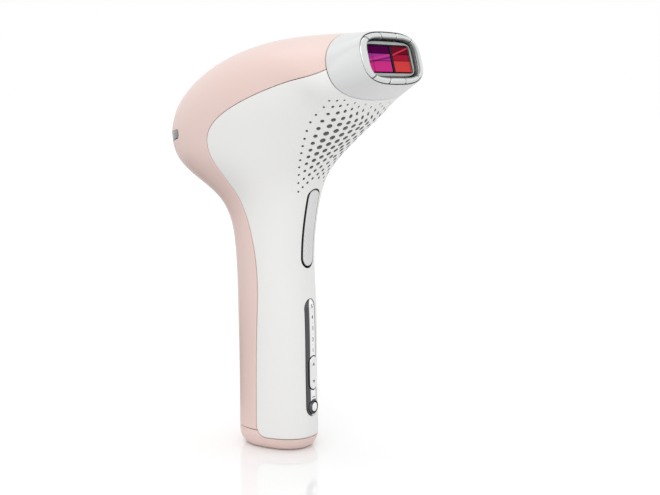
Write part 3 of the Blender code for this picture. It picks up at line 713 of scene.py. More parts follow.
@dataclass
class Skin:
    """The handset's outer surface, from the foot of the handle to the rim of the window.

    Each section holds its back point (forward, up), front point (forward, up), half width,
    squareness and lean to the front. Running length v grows from the foot, and angle goes from the
    middle of the back.
    """

    sections: tuple = (
        (-19.8, 10.0, 19.8, 10.0, 15.0, 2.3, 0.0),
        (-19.6, 38.0, 19.1, 38.0, 15.2, 2.3, 0.0),
        (-19.7, 68.0, 18.4, 68.0, 16.1, 2.3, 0.0),
        (-20.6, 96.5, 17.2, 96.5, 17.0, 2.3, 0.0),
        (-29.8, 120.7, 20.2, 120.0, 20.3, 2.3, 0.0),
        (-51.6, 138.0, 26.0, 134.8, 27.8, 2.3, 0.0),
        (-53.8, 158.8, 37.5, 146.7, 32.0, 2.3, 0.0),
        (-31.1, 181.3, 46.2, 154.6, 34.6, 2.3, 0.0),
        (8.0, 194.5, 49.5, 159.2, 35.5, 2.3, -0.06),
        (43.1, 196.8, 54.4, 166.6, 35.0, 2.2, -0.21),
        (59.2, 197.2, 65.3, 173.3, 27.6, 3.0, 0.0),
    )
    seam_section: int = 9
    split: tuple = (
        (0, 81), (50, 86), (82, 90), (107, 82), (128, 86.5),
        (149, 79.6), (165, 86), (187, 93.5), (199, 91.4), (209, 87.2), (219, 83.8),
    )
    foot_in: float = 5.0
    foot_up: float = 8.0
    rear_foot: float = 9.3
    front_foot: float = 6.2
    corner: float = 5.5
    wall: float = 2.2
    gap: float = 0.35

    def __post_init__(self) -> None:
        """Works out the running lengths."""
        self.rows = np.array(self.sections)
        back = np.hypot(*np.diff(self.rows[:, 0:2], axis=0).T)
        front = np.hypot(*np.diff(self.rows[:, 2:4], axis=0).T)
        self.knots = np.concatenate([[0.0], np.cumsum((back + front) / 2)])
        self.lift_of_foot = -self.sections[0][1]
        self.seam_v = self.knots[self.seam_section]
        self.rim_v = self.knots[-1]
        self.split_rows = np.array(self.split, float)

    def section(self, v: np.ndarray) -> np.ndarray:
        """The section's numbers at running length v."""
        return spline(self.knots, self.rows, np.maximum(v, 0))

    def bare(self, v: np.ndarray, angle: np.ndarray) -> np.ndarray:
        """Points of the surface.

        Args:
            v: running lengths.
            angle: angles round the section, from the middle of the back.

        Returns:
            Points in millimetres.
        """
        back_f, back_z, front_f, front_z, width, power, lean = np.moveaxis(self.section(v), -1, 0)
        cosine, sine = superellipse(angle, power)
        cosine = cosine + lean * (1 - cosine**2)
        below = np.clip((self.foot_up + self.lift_of_foot - v) / self.foot_up, 0, 1)
        inset = self.foot_in * (1 - np.sqrt(1 - below**2))
        shrink = 1 - inset / (np.hypot(back_f - front_f, back_z - front_z) / 2)
        forward = (back_f + front_f) / 2 + shrink * (back_f - front_f) / 2 * cosine
        up = (back_z + front_z) / 2 + (back_z - front_z) / 2 * cosine + np.minimum(v, 0)
        return np.stack([(width - inset) * sine, -forward, up], axis=-1)

    def normal(self, v: np.ndarray, angle: np.ndarray) -> np.ndarray:
        """Outward unit normals.

        Args:
            v: running lengths.
            angle: angles round the section, from the middle of the back.

        Returns:
            Unit vectors.
        """
        along = self.bare(v + 0.01, angle) - self.bare(v - 0.01, angle)
        around = self.bare(v, angle + 0.001) - self.bare(v, angle - 0.001)
        normal = np.cross(along, around)
        return normal / np.linalg.norm(normal, axis=-1, keepdims=True)

    def at(self, v: object, angle: object, lift: object = 0.0) -> np.ndarray:
        """Points of the surface, moved out along its normal by lift."""
        v, angle, lift = np.broadcast_arrays(*(np.asarray(q, float) for q in (v, angle, lift)))
        return self.bare(v, angle) + lift[..., None] * self.normal(v, angle)

    def angle_at(self, v: np.ndarray, lateral: np.ndarray, front: bool = True) -> np.ndarray:
        """The angle at which the surface lies at this lateral distance, on the front or the back.

        Args:
            v: running lengths.
            lateral: distances from the middle plane.
            front: whether it is the front.

        Returns:
            The angles.
        """
        rows = self.section(v)
        sine = lateral / rows[..., 4]
        power = rows[..., 5]
        cosine = (1 - np.abs(sine) ** power) ** (1 / power)
        return np.arctan2(sine, -cosine if front else cosine)

    def reach(self, v: np.ndarray, angle: np.ndarray) -> np.ndarray:
        """Millimetres of surface for each radian round the section.

        Args:
            v: running lengths.
            angle: angles round the section.

        Returns:
            The reach at each place.
        """
        step = 0.01
        ahead, behind = self.bare(v, angle + step), self.bare(v, angle - step)
        return np.linalg.norm(ahead - behind, axis=-1) / (2 * step)

    def split_angle(self, v: np.ndarray, clear: float = 0.0) -> np.ndarray:
        """Angle of the line between the shells at v, moved towards the front by clear.

        Args:
            v: running lengths.
            clear: how far the line is moved, in millimetres.

        Returns:
            The angles.
        """
        rows = self.split_rows
        base = np.radians(spline(rows[:, 0], rows[:, 1:], np.maximum(v, 0))[..., 0])
        below = np.clip((self.front_foot + self.corner + self.lift_of_foot - v) / self.corner, 0, 1)
        corner = self.corner * (1 - np.sqrt(1 - below**2))
        return base + (corner + clear) / self.reach(v, base)

    def front_length(self) -> Grids:
        """Running lengths and the distance along the front centre line at each of them.

        Returns:
            Running lengths, and the distance at each.
        """
        v = np.linspace(0, self.rim_v, 800)
        line = self.bare(v, np.full(800, np.pi))
        return v, np.concatenate([[0.0], np.cumsum(np.linalg.norm(np.diff(line, axis=0), axis=1))])


# ---- Shells -------------------------------------------------------------------------------------


@dataclass
class VentField:
    """The field of small air holes on the concave front, between the seam and the trigger.

    The holes stand in columns an equal angle apart, each shifted half a step from the last, and are
    largest in the middle of the field. The field is mirrored about the front centre line.
    """

    skin: Skin
    columns: int = 9
    first_row: float = 14.7
    row_step: float = 4.3
    close_rows_from: float = 53.4
    close_row_step: float = 3.3
    last_row: float = 67.0
    start_v: float = 100.0
    edge_angle: tuple = (
        (14.7, 28.5), (22.0, 29.4), (31.0, 34.5), (40.0, 40.0), (50.0, 45.4), (63.3, 53.0),
        (67.0, 55.0),
    )
    column_step: tuple = ((14.7, 5.8), (50.0, 7.4))
    fullest_row: float = 49.0
    smallest: float = 1.0
    growth: float = 1.8
    depth: float = 1.5
    sides: int = 16

    def rows(self) -> np.ndarray:
        """Distances up the front centre line of the even columns' holes.

        Returns:
            The distances, in millimetres.
        """
        even = np.arange(self.first_row, self.close_rows_from + 0.1, self.row_step)
        close = np.arange(even[-1] + self.close_row_step, self.last_row, self.close_row_step)
        return np.concatenate([even, close])

    def diameter(self, up: float, column: int) -> float:
        """A hole's diameter: largest in the upper middle, smallest round the border.

        Args:
            up: distance up the front centre line.
            column: number of the column, from the border.

        Returns:
            The diameter in millimetres.
        """
        reach = 36.0 if up < self.fullest_row else 18.5
        middle = max(0.0, 1 - ((up - self.fullest_row) / reach) ** 2) ** 1.4
        return self.smallest + self.growth * middle * min(1.0, 0.12 + 0.46 * column)

    def holes(self) -> list[tuple[float, float, float]]:
        """Each hole's distance up, angle from the front centre line (radians) and diameter.

        Returns:
            One tuple for each hole.
        """
        even = self.rows()
        odd = (even[:-1] + even[1:]) / 2
        edges, steps = np.array(self.edge_angle), np.array(self.column_step)
        found = []
        for column in range(self.columns):
            for up in even if column % 2 == 0 else odd:
                step = np.interp(up, steps[:, 0], steps[:, 1])
                angle = np.interp(up, edges[:, 0], edges[:, 1]) - step * column
                low = self.first_row + min(1.5 * column, 5.4)
                high = 64.0 if column == 0 else self.last_row
                if not low <= up <= high or angle < -0.3 * step:
                    continue
                size = self.diameter(up, column)
                if angle < 0.3 * step:
                    found.append((up, 0.0, size))
                else:
                    found += [(up, math.radians(angle * side.value), size) for side in Side]
        return found

    def cutter(self, maker: Maker) -> Piece:
        """One mesh of tapered pins, one for each hole, which softens the holes' mouths; below the
        mouths the pins leave the holes' walls and floors dark grey with painted shade.

        Args:
            maker: makes the mesh.

        Returns:
            The cutter.
        """
        v_of, up_of = self.skin.front_length()
        base = np.interp(self.start_v, v_of, up_of)
        turn = np.linspace(0, 2 * np.pi, self.sides, endpoint=False)
        points, faces = [], []
        for up, angle, size in self.holes():
            v = np.interp(base + up, up_of, v_of)
            sine = math.sin(angle)
            place = self.skin.angle_at(
                np.array(v), np.array(sine * self.skin.section(np.array(v))[4])
            )
            centre = self.skin.bare(np.array(v), place)
            normal = self.skin.normal(np.array(v), place)
            across = np.cross(normal, (0, 0, 1.0))
            across /= np.linalg.norm(across)
            rise = np.cross(across, normal)
            circle = np.cos(turn)[:, None] * across + np.sin(turn)[:, None] * rise
            first = len(points)
            radius = size / 2
            for reach, lift in ((radius + 0.3, 0.16), (radius, -0.14), (radius * 0.9, -self.depth)):
                points += list(centre + reach * circle + lift * normal)
            faces += [tuple(first + i for i in face) for face in wall_faces(3, self.sides)]
            faces.append(tuple(first + i for i in range(self.sides)))
            faces.append(tuple(first + 2 * self.sides + i for i in range(self.sides)))
        pins = maker.mesh("vent_cutter", np.array(points), faces, WHITE_SHELL)
        for_each = 2 * self.sides + 2
        # Painted shade: every face below the mouth's taper, the walls and the floor, is dark grey.
        maker.second_finish(pins, VENT_PAINTED_SHADE, lambda k: k % for_each >= self.sides)
        return pins


@dataclass
class Slot:
    """A round-ended place on the front centre line: its middle, half width and half length."""

    middle: float
    half_width: float
    half_length: float

    def grid(self, grow: float, cols: int, rows: int) -> tuple[np.ndarray, np.ndarray, np.ndarray]:
        """A grid over the slot.

        Args:
            grow: how far its outline is moved out.
            cols: points across.
            rows: points along the straight stretch.

        Returns:
            Running lengths, lateral places, and how far each point is from the edge, from 0 to 1.
        """
        half_width = self.half_width + grow
        straight = self.half_length + grow - half_width
        turn = np.radians((3, 9, 16, 24, 33, 43, 54, 66, 78))
        ends = straight + half_width * np.cos(turn)
        along = np.concatenate([-ends, np.linspace(-straight, straight, rows), ends[::-1]])
        widths = np.concatenate([np.sin(turn), np.ones(rows), np.sin(turn)[::-1]]) * half_width
        across = np.sin(np.linspace(-np.pi / 2, np.pi / 2, cols))
        v = np.repeat((self.middle + along)[:, None], cols, axis=1)
        beyond = np.maximum(np.abs(along) - straight, 0)[:, None]
        lateral = widths[:, None] * across
        inward = 1 - np.hypot(lateral, beyond) / half_width
        return v, lateral, inward

    def piece(
        self, maker: Maker, skin: Skin, name: str, shape: "Crown", finish: Finish, grow: float = 0.0
    ) -> Piece:
        """A crowned piece over the slot that follows the handle.

        Args:
            maker: makes the mesh.
            skin: the surface that it follows.
            name: the piece's name.
            shape: how it stands up from the surface.
            finish: what it is dressed in.
            grow: how far its outline is moved out.

        Returns:
            The piece.
        """
        v, lateral, inward = self.grid(grow, shape.cols, shape.rows)
        angle = skin.angle_at(v, lateral)
        rise = shape.edge + (shape.crown - shape.edge) * np.clip(
            1 - (1 - inward) ** shape.power, 0, 1
        ) ** shape.arch
        rise -= shape.dish * np.clip((inward - 0.28) / 0.14, 0, 1)
        rise -= shape.roll * np.clip(
            1 - inward * self.half_width / max(shape.roll, 1e-6), 0, 1
        ) ** 2
        return maker.sheet(
            name, skin.at(v, angle, rise), skin.at(v, angle, shape.under), finish, 50
        )


@dataclass
class Crown:
    """How a piece stands up from the surface: at its edge and middle, and how deep it goes."""

    edge: float
    crown: float
    under: float
    power: float = 2.0
    arch: float = 0.5
    roll: float = 0.0
    dish: float = 0.0
    cols: int = 25
    rows: int = 60


PANEL = Slot(34.5, 4.3, 28.2)
ROCKER = Slot(27.2, 2.85, 8.0)
TRIGGER = Slot(98.1, 4.25, 19.6)


@dataclass
class Shells:
    """The white front shell with its vents, the rose rear shell and the foot cap."""

    maker: Maker
    skin: Skin
    row_step: float = 1.6
    cols: int = 76
    roll: tuple = ((0.0, -0.30), (0.10, -0.13), (0.26, -0.03), (0.5, 0.0))
    panel_clear: float = 0.3
    trigger_clear: float = 1.0
    ready_v: float = 140.0
    ready_rise: float = 6.4
    ready_half_width: float = 25.2
    ready_half_height: float = 1.7
    cap_sides: int = 132
    shade_rows: int = 260
    shade_cols: int = 220
    shade_near: int = 4
    shade_depth: float = 0.02
    shade_turn: float = 0.93

    def edged(self, low: float, high: float, step: float) -> Grids:
        """Places from low to high, with the rolled edge's places at both ends, and their lifts.

        Args:
            low: the first place.
            high: the last place.
            step: the distance between places.

        Returns:
            The places, and how far each is moved out.
        """
        count = max(2, round((high - low) / step))
        offsets = np.array([o for o, _ in self.roll])
        lifts = np.array([q for _, q in self.roll])
        middle = np.linspace(low + offsets[-1], high - offsets[-1], count)[1:-1]
        places = np.concatenate([low + offsets, middle, (high - offsets)[::-1]])
        return places, np.concatenate([lifts, np.zeros(len(middle)), lifts[::-1]])

    def wall(
        self, name: str, v: np.ndarray, v_lift: np.ndarray, low: np.ndarray, high: np.ndarray,
        finish: Finish,
    ) -> Piece:
        """A shell between two angles for each running length, its edges rolled in a little.

        Args:
            name: the piece's name.
            v: running lengths, one for each row.
            v_lift: how far each row is drawn in.
            low: the angle where each row starts.
            high: the angle where it ends.
            finish: what it is dressed in.

        Returns:
            The shell.
        """
        offsets = np.array([o for o, _ in self.roll])
        lifts = np.array([q for _, q in self.roll])
        start = low[:, None] + offsets / self.skin.reach(v, low)[:, None]
        end = high[:, None] - (offsets / self.skin.reach(v, high)[:, None])[:, ::-1]
        share = np.linspace(0, 1, self.cols)[1:-1]
        between = start[:, -1:] + (end[:, :1] - start[:, -1:]) * share
        angle = np.concatenate([start, between, end], axis=1)
        col_lift = np.concatenate([lifts, np.zeros(len(share)), lifts[::-1]])
        rows = np.repeat(v[:, None], angle.shape[1], axis=1)
        lift = np.minimum(v_lift[:, None], col_lift)
        inner = self.skin.at(rows, angle, -self.skin.wall)
        return self.maker.sheet(name, self.skin.at(rows, angle, lift), inner, finish, 40)

    def restore_shading(self, obj: Piece, low_v: float) -> None:
        """Gives the faces of a cut shell the smooth normals of the uncut surface.

        Args:
            obj: the shell.
            low_v: the running length where it starts.
        """
        skin = self.skin
        v = np.linspace(low_v, skin.seam_v, self.shade_rows)[:, None]
        angle = np.linspace(0, 2 * np.pi, self.shade_cols, endpoint=False)[None, :]
        points = (skin.at(v, angle) * MM).reshape(-1, 3)
        normals = skin.normal(*np.broadcast_arrays(v, angle)).reshape(-1, 3)
        tree = KDTree(len(points))
        for i, point in enumerate(points):
            tree.insert(point, i)
        tree.balance()
        mesh = obj.data
        of_vertex = []
        for vertex in mesh.vertices:
            near = tree.find_n(vertex.co, self.shade_near)
            weights = np.array([1 / (distance + 1e-6) ** 2 for _, _, distance in near])
            normal = (normals[[i for _, i, _ in near]] * weights[:, None]).sum(axis=0)
            normal /= np.linalg.norm(normal)
            depth = abs(
                float(np.dot(np.array(vertex.co) - points[near[0][1]], normals[near[0][1]]))
            )
            of_vertex.append((normal, depth))
        loops = [tuple(corner.vector) for corner in mesh.corner_normals]
        for face in mesh.polygons:
            own = np.array(face.normal)
            for i in face.loop_indices:
                normal, depth = of_vertex[mesh.loops[i].vertex_index]
                if depth < self.shade_depth * MM and own @ normal > self.shade_turn:
                    loops[i] = tuple(normal)
        mesh.normals_split_custom_set(loops)

    def front(self) -> Piece:
        """The white shell, open for the control strip and the trigger, and drilled with vents.

        Returns:
            The shell.
        """
        skin = self.skin
        low = skin.front_foot + skin.lift_of_foot
        v, lift = self.edged(low, skin.seam_v - skin.gap / 2, self.row_step)
        arc = low + skin.corner * (1 - np.cos(np.radians(np.arange(8, 90, 7))))
        order = np.argsort(np.concatenate([v, arc]), kind="stable")
        v, lift = np.concatenate([v, arc])[order], np.concatenate([lift, np.zeros(len(arc))])[order]
        keep = np.concatenate([[True], np.diff(v) > 0.03])
        v, lift = v[keep], lift[keep]
        start = skin.split_angle(v, skin.gap / 2)
        shell = self.wall("front_shell_skin", v, lift, start, 2 * np.pi - start, WHITE_SHELL)
        through = Crown(4, 4, -5, cols=13, rows=12)
        cut(
            shell,
            PANEL.piece(self.maker, skin, "panel_cutter", through, WHITE_SHELL, self.panel_clear),
            # The trigger's cutter hands its black to the walls of the opening: painted shade in the
            # gap round the trigger.
            TRIGGER.piece(
                self.maker, skin, "trigger_cutter", through, SEAL_BLACK_AND_GAP_SHADE, self.trigger_clear
            ),
            VentField(skin).cutter(self.maker),
        )
        self.restore_shading(shell, low)
        return self.maker.place(shell, "handset", "white_shell", "front_shell")

    def ready_grid(self, grow: float, rows: int) -> Grids:
        """Grid of the ready light window, which wraps the back and rises towards its ends.

        Args:
            grow: how far its outline is moved out.
            rows: points across its height.

        Returns:
            Running lengths and angles.
        """
        across = np.sin(np.linspace(-np.pi / 2, np.pi / 2, 61))
        lateral = (self.ready_half_width + grow) * across
        middle = self.ready_v + self.ready_rise * across**2
        near_end = (np.abs(lateral) - self.ready_half_width + 0.3).clip(0) / (0.32 + grow)
        half = (self.ready_half_height + grow) * np.sqrt(np.clip(1 - near_end**2, 0.3, 1))
        v = middle[:, None] + half[:, None] * np.linspace(-1, 1, rows)
        return v, self.skin.angle_at(v, np.repeat(lateral[:, None], rows, axis=1), front=False)

    def rear(self) -> Piece:
        """The rose shell, open for the ready light window.

        Returns:
            The shell.
        """
        skin = self.skin
        low = skin.rear_foot + skin.lift_of_foot
        v, lift = self.edged(low, skin.seam_v - skin.gap / 2, self.row_step)
        end = skin.split_angle(v, -skin.gap / 2)
        shell = self.wall("rear_shell_skin", v, lift, -end, end, PINK_SHELL)
        grid = self.ready_grid(0.35, 5)
        cut(
            shell,
            self.maker.sheet("ready_cutter", skin.at(*grid, 3), skin.at(*grid, -5), PINK_SHELL),
        )
        self.restore_shading(shell, low)
        return self.maker.place(shell, "handset", "pink_shell", "rear_shell")

    def ready_light(self) -> Piece:
        """The smoked window in the back that the ready light shines through.

        Returns:
            The window.
        """
        v, angle = self.ready_grid(0.0, 9)
        edge = np.full(v.shape, -0.1)
        edge[:, 0] = edge[:, -1] = edge[0] = edge[-1] = -0.25
        lens = self.maker.sheet(
            "ready_window", self.skin.at(v, angle, edge), self.skin.at(v, angle, -self.skin.wall),
            SMOKED,
        )
        return self.maker.place(lens, "handset", "smoked_lens", "ready_light_lens")

    def foot_loop(self, inset: float, height: object) -> np.ndarray:
        """A loop round the foot, drawn in by inset, at this height or one height for each angle.

        Args:
            inset: how far it is drawn in.
            height: its height, or one height for each angle.

        Returns:
            The loop's points.
        """
        angle = np.linspace(0, 2 * np.pi, self.cap_sides, endpoint=False)
        first = self.skin.sections[0]
        cosine, sine = superellipse(angle, first[5])
        half_chord = (first[2] - first[0]) / 2 - inset
        heights = np.broadcast_to(height, angle.shape)
        return np.stack([(first[4] - inset) * sine, half_chord * cosine, heights], axis=-1)

    def cap(self) -> Piece:
        """The rose foot cap, whose top edge steps down under the white shell.

        Returns:
            The cap.
        """
        skin = self.skin
        angle = np.linspace(0, 2 * np.pi, self.cap_sides, endpoint=False)
        from_back = np.minimum(angle, 2 * np.pi - angle)
        base = math.radians(skin.split[0][1])
        beyond = np.clip(
            (from_back - base) * float(skin.reach(np.array(0.0), np.array(base))) / skin.corner, 0,
            1,
        )
        front = skin.front_foot + skin.corner * (1 - np.sqrt(1 - (1 - beyond) ** 2))
        top = np.where(
            from_back < base, skin.rear_foot, np.minimum(front, skin.rear_foot)
        ) - skin.gap
        loops = []
        for turn in np.radians(np.arange(0, 80, 6)):
            rise = skin.foot_up * (1 - math.cos(turn))
            loops.append(
                self.foot_loop(skin.foot_in * (1 - math.sin(turn)), np.minimum(rise, top - 0.4))
            )
        loops.append(self.foot_loop(0.10, top - 0.25))
        loops.append(self.foot_loop(0.22, top - 0.06))
        loops.append(self.foot_loop(0.45, top))
        for inset, height in ((2.55, top), (2.55, 14.5), (3.85, 14.5), (3.85, 5.0), (5.6, 2.4)):
            loops.append(self.foot_loop(inset, height))
        cap = self.maker.stack("foot_cap", np.array(loops), PINK_SHELL)
        low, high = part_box("charging_socket")
        centre = ((low + high) / 2) / MM
        hole = ((4.75, -1.0), (4.4, 0.35), (4.4, 7.0))
        cut(
            cap,
            self.maker.turned(
                "socket_cutter", hole, (centre.x, centre.y, 0), (0, 0, 1), PINK_SHELL
            ),
        )
        cap.data.set_sharp_from_angle(angle=math.radians(40))
        return self.maker.place(cap, "handset", "pink_shell", "base_cap")

    def build(self) -> None:
        """Makes all the shells."""
        self.front()
        self.rear()
        self.ready_light()
        self.cap()


# ---- Controls -----------------------------------------------------------------------------------


@dataclass
class Controls:
    """The bright strip with its level marks, the rocker, the power button and the trigger."""

    maker: Maker
    skin: Skin
    level_first: float = 59.2
    level_step: float = 5.3
    mark_height: float = 1.9
    dot_radius: float = 0.15
    sign_up: tuple = (25.4, 24.2)
    power_up: float = 20.6
    power_radius: float = 2.5
    # Painted dark reflections on the strip's sides: each finish from this share of the half width
    # outwards.
    strip_shades: tuple = ((0.45, CHROME_PAINTED_DIM_REFLECTION), (0.53, CHROME_PAINTED_DARK_REFLECTION))
    mark_proud: float = 0.98
    mark_depth: float = 0.06
    arrow_proud: float = 1.24
    arrow_up: float = 4.3
    flank_turn: float = -0.4

    def strip(self) -> None:
        """The domed chrome strip, open for the rocker and the power button, with painted dark
        reflections down its two sides.
        """
        shape = Crown(0.1, 0.92, -1.7, power=2.0, arch=1.0, roll=0.25, cols=41, rows=90)
        strip = PANEL.piece(self.maker, self.skin, "control_strip", shape, CHROME)
        # Painted reflection: the sides where the dome falls away are dressed in darker chrome.
        for share, finish in self.strip_shades:
            self.edge_tint(strip, PANEL, share, finish)
        well = ROCKER.piece(
            self.maker, self.skin, "rocker_cutter", Crown(4, 4, -5, rows=12), CHROME, 0.45
        )
        hole = self.maker.turned(
            "power_cutter", ((3.7, -24), (3.7, -14)), (0, 0, self.power_up), (0, 1, 0), CHROME
        )
        cut(strip, well, hole)
        strip.data.set_sharp_from_angle(angle=math.radians(30))
        self.dark_flanks(strip)
        self.maker.place(strip, "handset", "bright_metal", "control_panel")

    def edge_tint(self, obj: Piece, slot: Slot, share: float, finish: Finish) -> None:
        """Paints dark reflections on a domed piece's two sides, where the dome falls away, by
        dressing them in a darker finish.

        Args:
            obj: the piece.
            slot: the place that it fills.
            share: the share of its half width from which the finish starts.
            finish: the darker finish.
        """
        straight = slot.half_length - slot.half_width
        faces = obj.data.polygons

        def outer(k: int) -> bool:
            """Whether a face lies on one of the two sides.

            Args:
                k: the face's number.

            Returns:
                True on a side.
            """
            centre = faces[k].center / MM
            beyond = max(abs(centre.z + self.skin.lift_of_foot - slot.middle) - straight, 0.0)
            width = math.sqrt(max(slot.half_width**2 - beyond**2, 0.01))
            return faces[k].normal.y < self.flank_turn and abs(centre.x) > share * width

        self.maker.second_finish(obj, finish, outer)

    def dark_flanks(self, obj: Piece) -> None:
        """Blackens a control's sideways faces with painted shade, so that its gap reads as a dark
        line.
        """
        faces = obj.data.polygons
        self.maker.second_finish(obj, SEAL_BLACK_AND_GAP_SHADE, lambda k: faces[k].normal.y > self.flank_turn)

    def flat_mark(
        self, name: str, points: list[tuple[float, float]], up: float, body: str, proud: float
    ) -> None:
        """A small printed polygon on the centre line.

        Args:
            name: the piece's name.
            points: lateral and upward places from its middle.
            up: how high its middle is.
            body: the body that it moves with.
            proud: how far it stands in front of the skin.
        """
        spots = np.array(points)
        v = spots[:, 1] + up + self.skin.lift_of_foot
        front = self.skin.at(v, self.skin.angle_at(v, spots[:, 0]), proud)
        back = self.skin.at(v, self.skin.angle_at(v, spots[:, 0]), proud - self.mark_depth)
        self.maker.place(
            self.maker.stack(name, np.array([front, back]), MARK_GREY), body, "black_plastic"
        )

    def digit(self, number: int, up: float) -> None:
        """A level number, printed on the strip.

        Args:
            number: the digit.
            up: how high its middle is.
        """
        words = bpy.data.curves.new(f"level_{number}", "FONT")
        words.body = str(number)
        words.size = self.mark_height * 1.4 * MM
        words.align_x, words.align_y = "CENTER", "CENTER"
        words.extrude = 0.03 * MM
        words.resolution_u = 6
        flat = bpy.data.objects.new(words.name, words)
        bpy.context.scene.collection.objects.link(flat)
        forward = -self.skin.at(np.array(up + self.skin.lift_of_foot), np.array(np.pi), 0.97)[1]
        flat.rotation_euler = (math.radians(90), 0, 0)
        flat.location = (0, -forward * MM, up * MM)
        bpy.context.view_layer.update()
        mesh = bpy.data.meshes.new_from_object(
            flat.evaluated_get(bpy.context.evaluated_depsgraph_get())
        )
        mesh.transform(flat.matrix_world)
        bpy.data.objects.remove(flat)
        mesh.materials.clear()
        mesh.materials.append(self.maker.shop.material(MARK_GREY))
        mark = bpy.data.objects.new(f"level_mark_{number}", mesh)
        bpy.context.scene.collection.objects.link(mark)
        self.maker.place(mark, "handset", "black_plastic")

    def marks(self) -> None:
        """The level numbers, the dots between them and the sign above the power button."""
        for k, number in enumerate(range(5, 0, -1)):
            up = self.level_first - self.skin.lift_of_foot - k * self.level_step
            self.digit(number, up)
            if number > 1:
                turn = np.linspace(0, 2 * np.pi, 12, endpoint=False)
                dot = [(self.dot_radius * math.cos(t), self.dot_radius * math.sin(t)) for t in turn]
                self.flat_mark(
                    f"level_dot_{number}", dot, up - self.level_step / 2, "handset", self.mark_proud
                )
        for k, up in enumerate(self.sign_up):
            bar = [(-1.1, -0.22), (1.1, -0.22), (1.1, 0.22), (-1.1, 0.22)]
            self.flat_mark(f"sign_bar_{k + 1}", bar, up, "handset", self.mark_proud)

    def rocker(self) -> None:
        """The long oval rocker with an arrow at each end."""
        shape = Crown(0.9, 1.5, -3.0, power=2.4, roll=0.3, dish=0.3, cols=41, rows=44)
        rocker = ROCKER.piece(self.maker, self.skin, "level_rocker", shape, ROCKER_SILVER)
        self.dark_flanks(rocker)
        self.maker.place(rocker, "intensity_rocker", "bright_metal", "intensity_rocker")
        middle = ROCKER.middle - self.skin.lift_of_foot
        for name, side in (("up", 1), ("down", -1)):
            arrow = [(-0.95, -0.75 * side), (0.95, -0.75 * side), (0.0, 0.85 * side)]
            self.flat_mark(
                f"arrow_{name}", arrow, middle + self.arrow_up * side, "intensity_rocker",
                self.arrow_proud,
            )

    def power(self) -> None:
        """The domed chrome power button in its ring, with a painted dark reflection on a band of
        the dome and over the whole ring.
        """
        place = (0, 0, self.power_up)
        turn = np.radians(np.linspace(0, 84, 9))
        dome = [(self.power_radius, -16.6), (self.power_radius, -20.2)]
        dome += [
            (self.power_radius * math.cos(t) * 0.985, -20.25 - 1.0 * math.sin(t)) for t in turn
        ]
        button = self.maker.turned("power_dome", tuple(dome), place, (0, 1, 0), CHROME)
        faces = button.data.polygons
        # Painted dark reflection on the band of the dome that faces partly sideways.
        self.maker.second_finish(button, CHROME_PAINTED_DARK_REFLECTION, lambda k: -0.8 < faces[k].normal.y < -0.3)
        self.maker.place(button, "power_button", "bright_metal", "power_button")
        circle = np.linspace(0, 2 * np.pi, 64, endpoint=False)
        profile = (
            (2.8, 17.2), (3.4, 17.2), (3.4, 20.25), (3.35, 20.45), (3.22, 20.58), (3.05, 20.6),
            (2.88, 20.52), (2.8, 20.35),
        )
        loops = [
            np.stack(
                [r * np.sin(circle), np.full(64, -f), self.power_up + r * np.cos(circle)], axis=-1
            )
            for r, f in profile
        ]
        # The whole ring in dark chrome: a painted dark reflection.
        ring = self.maker.ring("power_ring", np.array(loops), CHROME_PAINTED_DARK_REFLECTION)
        self.maker.place(ring, "handset", "bright_metal", "power_button_ring")

    def trigger(self) -> None:
        """The long white trigger, dimpled for grip on its lower half."""
        shape = Crown(0.0, 0.85, -3.0, power=2.6, roll=0.45, cols=41, rows=110)
        trigger = TRIGGER.piece(self.maker, self.skin, "flash_trigger", shape, TRIGGER_WHITE)
        self.dark_flanks(trigger)
        self.maker.place(trigger, "flash_button", "white_shell", "flash_button")

    def build(self) -> None:
        """Makes all the controls."""
        self.strip()
        self.marks()
        self.rocker()
        self.power()
        self.trigger()


# ---- Attachment ---------------------------------------------------------------------------------


@dataclass
class WindowFrame:
    """The window's own axes: lateral, up the window, and outwards."""

    centre: np.ndarray
    up: np.ndarray
    out: np.ndarray

    @classmethod
    def from_record(cls, crest: float = 0.9) -> "WindowFrame":
        """Reads the window's place from the mount on the crests of the pads.

        Args:
            crest: how far the crests stand out from the window's centre.

        Returns:
            The window's axes.
        """
        mount = next(m for m in frame["record"]["mounts"] if m["name"] == "skin_contact")
        out = np.array(mount["axis"], float)
        out /= np.linalg.norm(out)
        centre = np.array(mount["pos_m"]) / MM * (0, 1, 1) - crest * out
        return cls(centre, np.cross(out, (1.0, 0, 0)), out)

    def outline(self, size: tuple, depth: float, count: int = 144) -> np.ndarray:
        """A closed superellipse loop: half width, half height and squareness, at this depth.

        Args:
            size: half width, half height and squareness.
            depth: how far in it lies.
            count: how many points it has.

        Returns:
            The loop's points.
        """
        cosine, sine = superellipse(np.linspace(0, 2 * np.pi, count, endpoint=False), size[2])
        return self.points(
            np.stack([size[0] * sine, size[1] * cosine, np.full(count, -float(depth))], axis=-1)
        )

    def points(self, local: np.ndarray) -> np.ndarray:
        """Points given in the window's axes, in the model's frame.

        Args:
            local: lateral, up and outward distances.

        Returns:
            The points, in millimetres.
        """
        local = np.asarray(local, float)
        lateral = np.array((1.0, 0, 0))
        across, up, out = local[..., :1], local[..., 1:2], local[..., 2:]
        return self.centre + across * lateral + up * self.up + out * self.out


